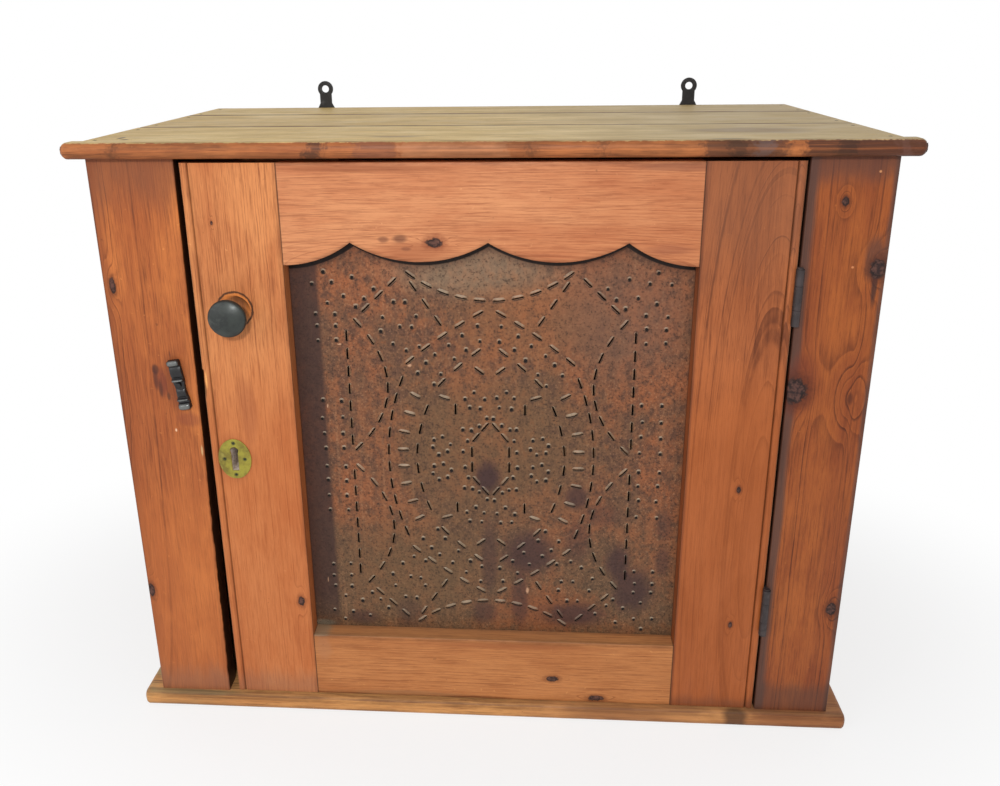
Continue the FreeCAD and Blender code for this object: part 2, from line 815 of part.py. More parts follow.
button_y = "front - button_gap"
turn_screw_shank = rod("turn_screw_shank", "button_x", "button_face - button_screw_play",
                       "button_level", "button_screw_radius",
                       "button_plate + button_gap + button_screw_play + button_screw_reach",
                       "back")
turn_screw_head = stud("turn_screw_head", "button_x", "button_face - button_screw_play",
                       "button_level", "button_screw_head_radius",
                       "button_screw_head_height", "forward")
turn_screw = node(fuse("turn_screw_whole", turn_screw_shank, turn_screw_head),
                  "turn_button_screw")


def button_blank(name):
    """An empty body with the button's tilt, its origin at the lower left corner."""
    body = new_body(name, "button_x", button_y, "button_level")
    body.Placement = FreeCAD.Placement(
        FreeCAD.Vector(), FreeCAD.Rotation(FreeCAD.Vector(0, 1, 0), 1))
    place(body, "button_x", button_y, "button_level")
    bind(body, "Placement.Rotation.Angle", "-button_tilt")
    return body


waist_left = "(button_width - button_waist) / 2"
waist_right = "(button_width + button_waist) / 2"
waist_low = "button_foot_length + button_waist_length / 4"
waist_high = "button_foot_length + button_waist_length * 3 / 4"
waist_end = "button_foot_length + button_waist_length"
button_front = button_blank("button_front")
outline = add_sketch(button_front, "button_outline", "XZ_Plane",
                     "-button_width / 2", "-button_length / 2")
draw(outline, [
    ("0", "0"),
    ("button_width", "0"),
    ("button_width", "button_foot_length"),
    (waist_right, waist_low),
    (waist_right, waist_high),
    ("button_width", waist_end),
    ("button_width", "button_length"),
    ("0", "button_length"),
    ("0", waist_end),
    (waist_left, waist_high),
    (waist_left, waist_low),
    ("0", "button_foot_length"),
])
pad(button_front, outline, "button_band")

roll_base = "button_band - button_roll_base"
plate_base = "button_band - button_plate"
button_side = button_blank("button_side")
profile = add_sketch(button_side, "button_profile", "YZ_Plane",
                     "-button_band", "-button_length / 2", "-button_width / 2")
draw(profile, [
    ("button_band", "0"),
    ("button_band", "button_length"),
    (roll_base, "button_length", "button_roll_radius"),
    (roll_base, "button_length - button_roll_length"),
    (plate_base, "button_length - button_roll_length"),
    (plate_base, "button_ridge_level + button_ridge_length", "button_ridge_radius"),
    (plate_base, "button_ridge_level"),
    (plate_base, "button_bead_level + button_ridge_length", "button_ridge_radius"),
    (plate_base, "button_bead_level"),
    (roll_base, "button_roll_length", "button_roll_radius"),
    (roll_base, "0"),
])
pad(button_side, profile, "button_width")
button = doc.addObject("Part::Common", "button_cast")
button.Base = button_front
button.Tool = button_side
button_bore = rod("button_bore", "button_x", "button_face - button_band", "button_level",
                  "button_screw_radius + button_screw_clearance",
                  "2 * button_band", "back")
node(carve(button, button_bore), "turn_button")

# Face stiles: the left one narrows downwards

face_left = new_body("face_left", "case_left", "front", "floor")
outline = add_sketch(face_left, "face_left_outline", "XZ_Plane")
draw(outline, [
    ("0", "0"),
    ("face_left_width - face_left_taper", "0"),
    ("face_left_width", "case_height"),
    ("0", "case_height"),
])
pad(face_left, outline, "face_thickness", backwards=True)
node(carve(face_left, top_nails, turn_screw_shank), "face_stile_left")

face_right = slab("face_right", "case_right - face_right_width", "front", "floor",
                  "face_right_width", "face_thickness", "case_height")
node(carve(face_right, top_nails, *leaf_plates["case"], *leaf_screws["case"]), "face_stile_right")

# Door frame

TENONS = {"top": ("top_tenon_low", "top_tenon_high"),
          "bottom": ("bottom_tenon_low", "bottom_tenon_high")}


def mortise(side, rail):
    """The hole for one tenon, a little larger than the tenon all round."""
    low, high = TENONS[rail]
    reach = "tenon_length + mortise_clearance"
    x = {"left": f"opening_left - ({reach})", "right": "opening_right"}[side]
    return block(f"mortise_{side}_{rail}", x, "front + tenon_front - mortise_clearance",
                 f"{low} - mortise_clearance", reach,
                 "tenon_thickness + 2 * mortise_clearance",
                 f"{high} - {low} + 2 * mortise_clearance")


def rail(name, low, corners, tenon_low, tenon_high):
    """A rail with a tenon at each end; its outline starts at the left shoulder."""
    body = new_body(name, "opening_left", "front", low)
    outline = add_sketch(body, name + "_outline", "XZ_Plane")
    draw(outline, corners)
    pad(body, outline, "door_thickness", backwards=True)
    tongue = add_sketch(body, name + "_tenons", "XZ_Plane",
                        "-tenon_length", "0", "-tenon_front")
    rectangle(tongue, "0", f"{tenon_low} - ({low})",
              "opening_width + 2 * tenon_length", f"{tenon_high} - ({low})")
    pad(body, tongue, "tenon_thickness", backwards=True)
    return body


# Tacks that hold the tin to the back of the frame

TACK_SHARES = ("0", "1 / 2", "1")
tack_high = "opening_top + scallop_depth + tack_inset"
tack_low = "opening_bottom - tack_inset"
tack_run_x = "opening_width - 2 * tack_end_inset"
tack_run_z = "opening_height - 2 * tack_end_inset"
tack_places = []
for share in TACK_SHARES:
    along = f"opening_left + tack_end_inset + ({tack_run_x}) * {share}"
    up = f"opening_bottom + tack_end_inset + ({tack_run_z}) * {share}"
    tack_places += [(along, tack_low), (along, tack_high),
                    ("opening_left - tack_inset", up), ("opening_right + tack_inset", up)]
tack_pieces = []
for number, (x, z) in enumerate(tack_places):
    outside = "door_back + tin_thickness + tack_head_thickness"
    head = bar(f"tack_{number}_head", x, outside, z, "forward",
               "tack_head", "tack_head", "tack_head_thickness")
    shank = bar(f"tack_{number}_shank", x, outside, z, "forward",
                "tack_shank", "tack_shank", "tack_length")
    tack_pieces.append(fuse(f"tack_{number}", head, shank))
tacks = node(group("tacks", *tack_pieces), "tin_tacks")

top_rail = rail("top_rail", "opening_top - end_lobe_drop", [
    ("0", "0", "end_lobe_radius"),
    ("opening_width / 6", "end_lobe_height", "lobe_radius"),
    ("opening_width / 2", "end_lobe_height", "lobe_radius"),
    ("opening_width * 5 / 6", "end_lobe_height", "end_lobe_radius"),
    ("opening_width", "0"),
    ("opening_width", "top_rail_width + end_lobe_drop"),
    ("0", "top_rail_width + end_lobe_drop"),
], "top_tenon_low", "top_tenon_high")
node(carve(top_rail, tacks), "door_rail_top")

bottom_rail = rail("bottom_rail", "door_bottom", [
    ("0", "0"),
    ("opening_width", "0"),
    ("opening_width", "bottom_rail_width"),
    ("0", "bottom_rail_width"),
], "bottom_tenon_low", "bottom_tenon_high")
node(carve(bottom_rail, tacks), "door_rail_bottom")

# Knob: a turned mushroom knob, drawn up from behind by a screw

knob = new_body("knob_turned")
knob.Placement = FreeCAD.Placement(
    FreeCAD.Vector(), FreeCAD.Rotation(FreeCAD.Vector(0, 0, 1), 180))
place(knob, "knob_x", "front + knob_recess_depth", "knob_level")
neck_end = "knob_recess_depth + knob_neck_length"
rim_end = f"{neck_end} + knob_rim"
profile = add_sketch(knob, "knob_profile", "XY_Plane")
draw(profile, [
    ("0", "0"),
    ("knob_neck_radius", "0"),
    ("knob_neck_radius", neck_end),
    ("knob_radius", neck_end),
    ("knob_radius", rim_end),
    ("knob_radius - knob_round", f"{rim_end} + knob_round"),
    ("0", f"{rim_end} + knob_round"),
])
revolve(knob, profile)
knob_screw_shank = stud("knob_screw_shank", "knob_x", "door_back", "knob_level",
                        "knob_screw_radius", "door_thickness + knob_screw_reach", "forward")
knob_screw_head = stud("knob_screw_head", "knob_x", "door_back", "knob_level",
                       "knob_screw_head_radius", "knob_screw_head_height", "back")
knob_screw = node(fuse("knob_screw_whole", knob_screw_shank, knob_screw_head), "knob_screw")
node(carve(knob, knob_screw), "knob")
knob_recess = rod("knob_recess", "knob_x", "front", "knob_level",
                  "knob_recess_radius", "knob_recess_depth", "back")

# Escutcheon: an oval brass plate round the keyhole, on four pins

keyhole_front = "front - escutcheon_thickness"
keyhole_reach = "escutcheon_thickness + door_thickness + lock_plate_thickness"
keyhole = fuse(
    "keyhole",
    rod("keyhole_round", "key_x", keyhole_front, "keyhole_level + keyhole_rise",
        "keyhole_radius", keyhole_reach, "back"),
    block("keyhole_slot", "key_x - keyhole_slot_width / 2", keyhole_front,
          "keyhole_level - keyhole_fall", "keyhole_slot_width", keyhole_reach,
          "keyhole_rise + keyhole_fall"))
pin_places = {
    "top": ("key_x", "keyhole_level + escutcheon_pin_rise"),
    "bottom": ("key_x", "keyhole_level - escutcheon_pin_rise"),
    "left": ("key_x - escutcheon_pin_side", "keyhole_level"),
    "right": ("key_x + escutcheon_pin_side", "keyhole_level"),
}
escutcheon_pins = node(group("escutcheon_pins_all", *[
    stud(f"escutcheon_pin_{side}", x, keyhole_front, z,
        "escutcheon_pin_radius", "escutcheon_pin_length", "back")
    for side, (x, z) in pin_places.items()]), "escutcheon_pins")
oval = doc.addObject("Part::Ellipse", "escutcheon_outline")
oval.Placement = FreeCAD.Placement(
    FreeCAD.Vector(), FreeCAD.Rotation(FreeCAD.Vector(1, 1, 1), -120))
bind(oval, "MajorRadius", "escutcheon_height / 2")
bind(oval, "MinorRadius", "escutcheon_width / 2")
place(oval, "key_x", keyhole_front, "keyhole_level")
oval_plate = doc.addObject("Part::Extrusion", "escutcheon_plate")
oval_plate.Base = oval
oval_plate.DirMode = "Custom"
oval_plate.Dir = FreeCAD.Vector(0, 1, 0)
oval_plate.Solid = True
bind(oval_plate, "LengthFwd", "escutcheon_thickness")
node(carve(oval_plate, keyhole, escutcheon_pins), "escutcheon")

# Rim lock on the back of the door: a plate, a cover, and a bolt between them

lock_screws = node(group("lock_screws_all", *[
    screw(f"lock_screw_{name}", x, "lock_inside", z, "forward", "lock_screw_length")
    for name, x, z in (
        ("low_left", "lock_left + lock_screw_inset", "lock_bottom + lock_lug / 2"),
        ("low_right", "lock_left + lock_width - lock_screw_inset",
         "lock_bottom + lock_lug / 2"),
        ("high_left", "lock_left + lock_screw_inset", "lock_top - lock_lug / 2"),
        ("high_right", "lock_left + lock_width - lock_screw_inset",
         "lock_top - lock_lug / 2"))]), "lock_screws")
lock_plate = block("lock_back_plate", "lock_left", "door_back", "lock_bottom",
                   "lock_width", "lock_plate_thickness", "lock_height")
node(carve(lock_plate, keyhole, lock_screws), "lock_plate")

bolt_low = "bolt_z - bolt_height / 2"
bolt_way = block("bolt_way", "lock_left", "lock_inside",
                 f"{bolt_low} - bolt_play", "2 * lock_wall",
                 "bolt_thickness + 2 * bolt_play", "bolt_height + 2 * bolt_play")
cover_block = block("lock_cover_block", "lock_left", "lock_inside",
                    "lock_bottom + lock_lug", "lock_width", "lock_cover_depth",
                    "lock_height - 2 * lock_lug")
cover_hollow = block("lock_cover_hollow", "lock_left + lock_wall", "lock_inside",
                     "lock_bottom + lock_lug + lock_wall", "lock_width - 2 * lock_wall",
                     "lock_cover_depth - lock_wall",
                     "lock_height - 2 * lock_lug - 2 * lock_wall")
node(carve(cover_block, cover_hollow, bolt_way), "lock_cover")

stump_x = "lock_left + bolt_stump_inset"
pin_length = "lock_cover_depth - lock_wall"
lock_pins = node(group(
    "lock_pins_all",
    stud("key_pin", "key_x", "lock_inside", "keyhole_level + keyhole_rise",
        "lock_pin_radius", pin_length, "back"),
    stud("bolt_stump", stump_x, "lock_inside", "bolt_z",
        "lock_pin_radius", pin_length, "back")), "lock_pins")

bolt_bar = block("bolt_bar", "lock_left", "bolt_y", bolt_low,
                 "bolt_length", "bolt_thickness", "bolt_height")
stump_room = "lock_pin_radius + bolt_play"
bolt_slot = block("bolt_slot", f"{stump_x} - ({stump_room})", "bolt_y",
                  f"bolt_z - ({stump_room})", f"bolt_travel + 2 * ({stump_room})",
                  "bolt_thickness", f"2 * ({stump_room})")
bolt_notch = block("bolt_notch", "key_x - bolt_notch_width / 2 + bolt_travel / 2", "bolt_y",
                   bolt_low, "bolt_notch_width", "bolt_thickness", "bolt_notch_depth")
node(carve(bolt_bar, bolt_slot, bolt_notch), "lock_bolt")

# The bowed leaf spring that bears on top of the bolt

spring_x = "lock_left + lock_width / 2 - spring_length / 2"
spring_radius = "((spring_length / 2)^2 + spring_bow^2) / (2 * spring_bow)"
spring = new_body("spring", spring_x, "bolt_y + (bolt_thickness - spring_width) / 2",
                  "spring_low")
profile = add_sketch(spring, "spring_profile", "XZ_Plane")
draw(profile, [
    ("0", "spring_bow", spring_radius),
    ("spring_length", "spring_bow"),
    ("spring_length", "spring_bow + spring_thickness",
     f"-(({spring_radius}) - spring_thickness)"),
    ("0", "spring_bow + spring_thickness"),
])
pad(spring, profile, "spring_width", backwards=True)
node(spring, "lock_spring")

# Door stiles, with a quirked bead down each outer edge

quirk_end = "bead_width + quirk_width"
quirk_mid = "bead_width + quirk_width / 2"
STILES = {
    "left": ("door_left", [
        ("0", "bead_round", "bead_round"),
        ("bead_round", "0"),
        ("bead_width", "0"),
        (quirk_mid, "quirk_depth"),
        (quirk_end, "0"),
        ("door_stile_left_width", "0"),
        ("door_stile_left_width", "door_thickness"),
        ("0", "door_thickness"),
    ]),
    "right": ("opening_right", [
        ("0", "0"),
        (f"door_stile_right_width - ({quirk_end})", "0"),
        (f"door_stile_right_width - ({quirk_mid})", "quirk_depth"),
        ("door_stile_right_width - bead_width", "0"),
        ("door_stile_right_width - bead_round", "0", "bead_round"),
        ("door_stile_right_width", "bead_round"),
        ("door_stile_right_width", "door_thickness"),
        ("0", "door_thickness"),
    ]),
}
FITTINGS = {
    "left": [knob_recess, knob_screw_shank, keyhole, escutcheon_pins, lock_screws],
    "right": [*leaf_plates["door"], *leaf_screws["door"]],
}
for side, (x, corners) in STILES.items():
    stile = new_body(f"stile_{side}", x, "front", "door_bottom")
    section = add_sketch(stile, f"stile_{side}_section", "XY_Plane")
    draw(section, corners)
    pad(stile, section, "door_height")
    mortises = [mortise(side, which) for which in TENONS]
    node(carve(stile, *mortises, tacks, *FITTINGS[side]), f"door_stile_{side}")

# The pierced tin panel


def along_arc(start, end, bow, share):
    """The point at a share of an arc, and the arc's direction there."""
    chord = end - start
    if not bow:
        return start + chord * share, chord
    lean = FreeCAD.Vector(-chord.y, chord.x, 0) * bow
    # a parabola through both ends whose middle stands off by the bow
    point = start + chord * share + lean * (4 * share * (1 - share))
    return point, chord + lean * (4 * (1 - 2 * share))


def add_slot(sketch, centre, direction):
    """One chisel cut, drawn as a narrow rectangle."""
    half = value("slot_length") / 2
    thin = value("slot_width") / 2
    ahead = FreeCAD.Vector(direction.x, direction.y, 0).normalize() * half
    aside = FreeCAD.Vector(-ahead.y, ahead.x, 0).normalize() * thin
    corners = [centre - ahead - aside, centre + ahead - aside,
               centre + ahead + aside, centre - ahead + aside]
    for number, corner in enumerate(corners):
        sketch.addGeometry(Part.LineSegment(corner, corners[(number + 1) % 4]))


tin = new_body("tin", "tin_left", "door_back", "tin_low")
outline = add_sketch(tin, "tin_outline", "XZ_Plane")
rectangle(outline, "0", "0", "opening_width + 2 * tin_lap", "tin_high - tin_low")
for x, z in tack_places:
    rectangle(outline, f"{x} - tack_shank / 2 - tin_left", f"{z} - tack_shank / 2 - tin_low",
              f"{x} + tack_shank / 2 - tin_left", f"{z} + tack_shank / 2 - tin_low")
pad(tin, outline, "tin_thickness", backwards=True)

pattern = add_sketch(tin, "tin_pattern", "XZ_Plane", "tin_lap + opening_width / 2",
                     "tin_lap + opening_height / 2 - pattern_drop")
half_size = (value("opening_width") / 2, value("opening_height") / 2)


def on_panel(share):
    return FreeCAD.Vector(share[0] * half_size[0], share[1] * half_size[1], 0)


for start, end, slots, bow in SLOT_RUNS:
    for number in range(slots):
        centre, direction = along_arc(on_panel(start), on_panel(end), bow,
                                      (number + 0.5) / slots)
        add_slot(pattern, centre, direction)
for spot, angle in SINGLE_SLOTS:
    turn = math.radians(angle)
    add_slot(pattern, on_panel(spot), FreeCAD.Vector(math.cos(turn), math.sin(turn), 0))
quarter = pocket(tin, pattern, "tin_thickness")
mirrors = []
for axis in ("V_Axis", "H_Axis"):
    mirror = tin.newObject("PartDesign::Mirrored", f"tin_mirror_{axis[0]}")
    mirror.MirrorPlane = (pattern, [axis])
    mirrors.append(mirror)
whole = tin.newObject("PartDesign::MultiTransform", "tin_whole_pattern")
whole.Originals = [quarter]
whole.Transformations = mirrors
tin.Tip = whole
node(tin, "tin_panel")

# Check and write

doc.recompute()
faults = []
for item in doc.Objects:
    if "Invalid" in item.State or "Error" in item.State:
        faults.append(f"{item.Name} ({item.Label}): {item.State}")
for item in nodes:
    if item.Shape.isNull() or not item.Shape.isValid():
        faults.append(f"{item.Label}: shape is empty or not valid")
if faults:
    raise RuntimeError("\n".join(faults))

os.makedirs("parts", exist_ok=True)
for item in nodes:
    item.Shape.exportStep(os.path.join("parts", item.Label + ".step"))
print(len(nodes), "sub-parts written")
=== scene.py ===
import json
import random
from math import asin, cos, pi, radians, sin, sqrt, tau
from types import SimpleNamespace

import bmesh
import bpy
from mathutils import Matrix, Vector, noise

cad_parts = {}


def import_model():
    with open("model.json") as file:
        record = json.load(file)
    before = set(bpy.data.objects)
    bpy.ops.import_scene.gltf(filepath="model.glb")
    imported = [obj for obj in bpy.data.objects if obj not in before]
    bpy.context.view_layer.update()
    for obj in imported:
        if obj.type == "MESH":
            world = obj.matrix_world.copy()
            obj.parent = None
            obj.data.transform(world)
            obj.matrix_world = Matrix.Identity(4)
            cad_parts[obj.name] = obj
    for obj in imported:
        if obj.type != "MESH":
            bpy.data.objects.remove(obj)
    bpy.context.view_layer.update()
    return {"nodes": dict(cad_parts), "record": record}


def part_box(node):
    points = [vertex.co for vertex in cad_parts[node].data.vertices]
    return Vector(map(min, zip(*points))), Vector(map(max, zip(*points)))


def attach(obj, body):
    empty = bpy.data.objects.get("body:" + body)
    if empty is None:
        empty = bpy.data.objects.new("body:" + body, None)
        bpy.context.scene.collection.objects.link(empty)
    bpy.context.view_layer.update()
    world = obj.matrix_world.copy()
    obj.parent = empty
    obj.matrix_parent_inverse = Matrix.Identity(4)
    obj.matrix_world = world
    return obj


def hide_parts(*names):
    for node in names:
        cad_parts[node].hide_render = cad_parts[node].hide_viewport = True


# The looks of a wall-hung pine pie safe with one pierced tin door.
# Frame: +Z up, +X to the right of someone facing the door, -Y towards them.
# Lengths are in millimetres.  Colours are red, green and blue as on a screen, 0 to 255.

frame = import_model()
MM = 0.001
slots = {entry["node"]: entry["material_slot"] for entry in frame["record"]["subparts"]}
chance = random.Random(11)


# ---- places

def box(node):
    """A CAD node's lowest and highest corner."""
    low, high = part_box(node)
    return low / MM, high / MM


def middle(node):
    low, high = box(node)
    return (low + high) / 2


case_front = box("face_stile_left")[0].y
case_back = box("back_board_1")[1].y
case_side = box("side_board_right_front")[1].x
opening_left = box("door_stile_left")[1].x
opening_right = box("door_stile_right")[0].x
opening_low = box("door_rail_bottom")[1].z
top_level = box("top_board_front")[1].z
nose_front = box("top_board_front")[0].y
base_level = box("bottom_board_front")[1].z
shelf_level = box("shelf_board_front")[1].z
tin_front = box("tin_panel")[0].y
knob_centre = middle("knob")
plate_centre = middle("escutcheon")
button_centre = middle("turn_button")


# ---- colours

def linear(colour):
    """A screen colour as Blender's linear one."""
    shares = [channel / 255 for channel in colour]
    return [s / 12.92 if s <= 0.04045 else ((s + 0.055) / 1.055) ** 2.4 for s in shares] + [1]


DIRT = (50, 28, 17)
# black-brown for grime, and for painted shade in gaps and inside the case
SOOT_AND_SHADE = (42, 24, 15)
DUST = (150, 146, 118)


# ---- shader helpers

def reckon(operation, swapped=False):
    """A method that makes the node for a sum, difference, product or quotient."""
    return lambda value, other: value.graph.math(
        operation, *((other, value) if swapped else (value, other)))


class Value:
    """A shader value to reckon with."""

    __add__ = reckon("ADD")
    __sub__ = reckon("SUBTRACT")
    __rsub__ = reckon("SUBTRACT", swapped=True)
    __mul__ = reckon("MULTIPLY")
    __truediv__ = reckon("DIVIDE")

    def __init__(self, graph, socket):
        self.graph = graph
        self.socket = socket

    def step(self, low, high, first=0, last=1):
        """A smooth step from first to last as the value goes from low to high."""
        ends = {"From Min": low, "From Max": high, "To Min": first, "To Max": last}
        return self.graph.node("MapRange", {"Value": self, **ends},
                               interpolation_type="SMOOTHSTEP")

    def between(self, low, high, soft):
        """1 from low to high, falling to 0 outside over a soft margin."""
        rise = self.step(low - soft, low + soft)
        return rise * self.step(high - soft, high + soft, 1, 0)


class Graph:
    """The node tree of a material or world, with short calls for the nodes used here."""

    def __init__(self, owner):
        owner.use_nodes = True
        self.owner = owner
        self.tree = owner.node_tree
        self.tree.nodes.clear()

    def put(self, socket, given):
        if isinstance(given, Value):
            self.tree.links.new(given.socket, socket)
        elif socket.type == "RGBA":
            socket.default_value = linear(given)
        else:
            socket.default_value = given

    def node(self, kind, inputs=(), out=0, **settings):
        """A new node's output, its inputs set or linked by name or number."""
        made = self.tree.nodes.new("ShaderNode" + kind)
        for key, setting in settings.items():
            setattr(made, key, setting)
        for key, given in dict(inputs).items():
            self.put(made.inputs[key], given)
        return Value(self, made.outputs[out]) if len(made.outputs) else made

    def math(self, operation, *given):
        return self.node("Math", enumerate(given), operation=operation)

    def far(self, a, b):
        """The distance of (a, b) from the origin."""
        return self.math("SQRT", a * a + b * b)

    def on_show(self):
        """1 for the rays that show a backdrop, 0 for those that light things with it."""
        camera, through, glossy = (self.node("LightPath", out=f"Is {kind} Ray")
                                   for kind in ("Camera", "Transmission", "Glossy"))
        return self.math("MAXIMUM", self.math("MAXIMUM", camera, through), glossy)


class Material(Graph):
    """A material whose colour is painted on in layers."""

    def __init__(self, name, colour):
        super().__init__(bpy.data.materials.new(name))
        self.colour = colour
        self.surface = self.tree.nodes.new("ShaderNodeBsdfPrincipled")
        self.lit = Value(self, self.surface.outputs[0])
        self.output = self.node("OutputMaterial", {"Surface": self.lit})
        self.place = self.node("TexCoord", out="Object")
        self.axis = {axis: self.part(self.place, axis) / MM for axis in "XYZ"}

    def part(self, vector, axis):
        return self.node("SeparateXYZ", {0: vector}, axis)

    def mix(self, share, a, b, kind="MIX"):
        return self.node("Mix", {0: share, 6: a, 7: b}, 2, data_type="RGBA", blend_type=kind)

    def paint(self, mask, tint, strength=1, kind="MIX"):
        """The tint over the colour so far, as far as the mask and strength say."""
        self.colour = self.mix(mask * strength, self.colour, tint, kind)

    def noise(self, scale, seed, detail=3, rough=0.55):
        """Noise, scaled per metre for all axes or for each, and moved by a seed."""
        scale = scale if isinstance(scale, tuple) else (scale,) * 3
        where = self.node("Mapping", {"Vector": self.place, "Scale": scale,
                                      "Location": (seed * 3.1, seed * 1.7, seed * 2.3)})
        return self.node("TexNoise", {"Vector": where, "Scale": 1, "Detail": detail,
                                      "Roughness": rough})

    def noise_along(self, value):
        """Noise along a single value."""
        return self.node("TexNoise", {"W": value, "Detail": 1}, noise_dimensions="1D")

    def attribute(self, name):
        return self.node("Attribute", out="Fac", attribute_name=name)

    def outside(self):
        """0 on faces that look to the back while the door is shut, 1 on the rest."""
        normal = self.node("TexCoord", out="Normal")
        return self.part(normal, "Y").step(0.6, 0.3)

    def upward(self, low=0.6, high=0.95):
        """1 on faces that look up, or down if high is the lower of the two."""
        normal = self.node("NewGeometry", out="Normal")
        return self.part(normal, "Z").step(low, high)

    def spot(self, across, along, ellipse, wobble, soft=0.35):
        """An ellipse's mask, and the distance from its centre in half widths."""
        place, level, wide, tall = ellipse
        far = self.far((across - place) / wide, (along - level) / tall) + wobble
        return far.step(1 - soft, 1 + soft, 1, 0), far

    def finish(self, rough, height, strength, distance, metallic=0, specular=0.5):
        """The finished material; height is the bump's, times a distance."""
        bump = self.node("Bump", {"Height": height, "Strength": strength,
                                  "Distance": distance * MM})
        looks = {"Base Color": self.colour, "Roughness": rough, "Metallic": metallic,
                 "Specular IOR Level": specular, "Normal": bump}
        for key, given in looks.items():
            self.put(self.surface.inputs[key], given)
        return self.owner


# ---- wood

TIMBER = {
    "seed": 1,              # moves every noise of this board
    "gap": 3.8,             # mean width of a growth ring
    "pith": (0, 60),        # the pith's place across the board, and how far behind its face
    "crook": None,          # (place along, bend per metre): the pith curves off the face
    "wander": 10,           # how far the grain drifts sideways
    "ripple": 0.4,          # small waves of the rings, as a share of the gap
    "eyes": (),             # (across, along, half width, half length, rings): cat faces
    "knots": (),            # (across, along, half width, half length)
    "stains": (),           # (across, along, half width, half length, colour, strength)
    "bands": (),            # (axis, low, high, soft, colour, strength)
    "rings": (),            # (across, along, radius, half width, colour, strength)
    "front": None,          # (depth, three tones, bands along X): a differently worn front
    "lines": 0.8,           # strength of the latewood lines
    "mottle": 0.7,          # strength of the broad patches
    "fibre": 0.5,           # strength of the fine fibres
    "streaks": 0.45,        # strength of the short dark streaks
    "dings": 0.35,          # strength of the pale knocks
    "edge": DIRT,           # colour of the arrises
    "edge_share": 0.35,     # strength of that colour
    "dust": 0,              # dust on faces that look up
    "rough": 0.42,
}


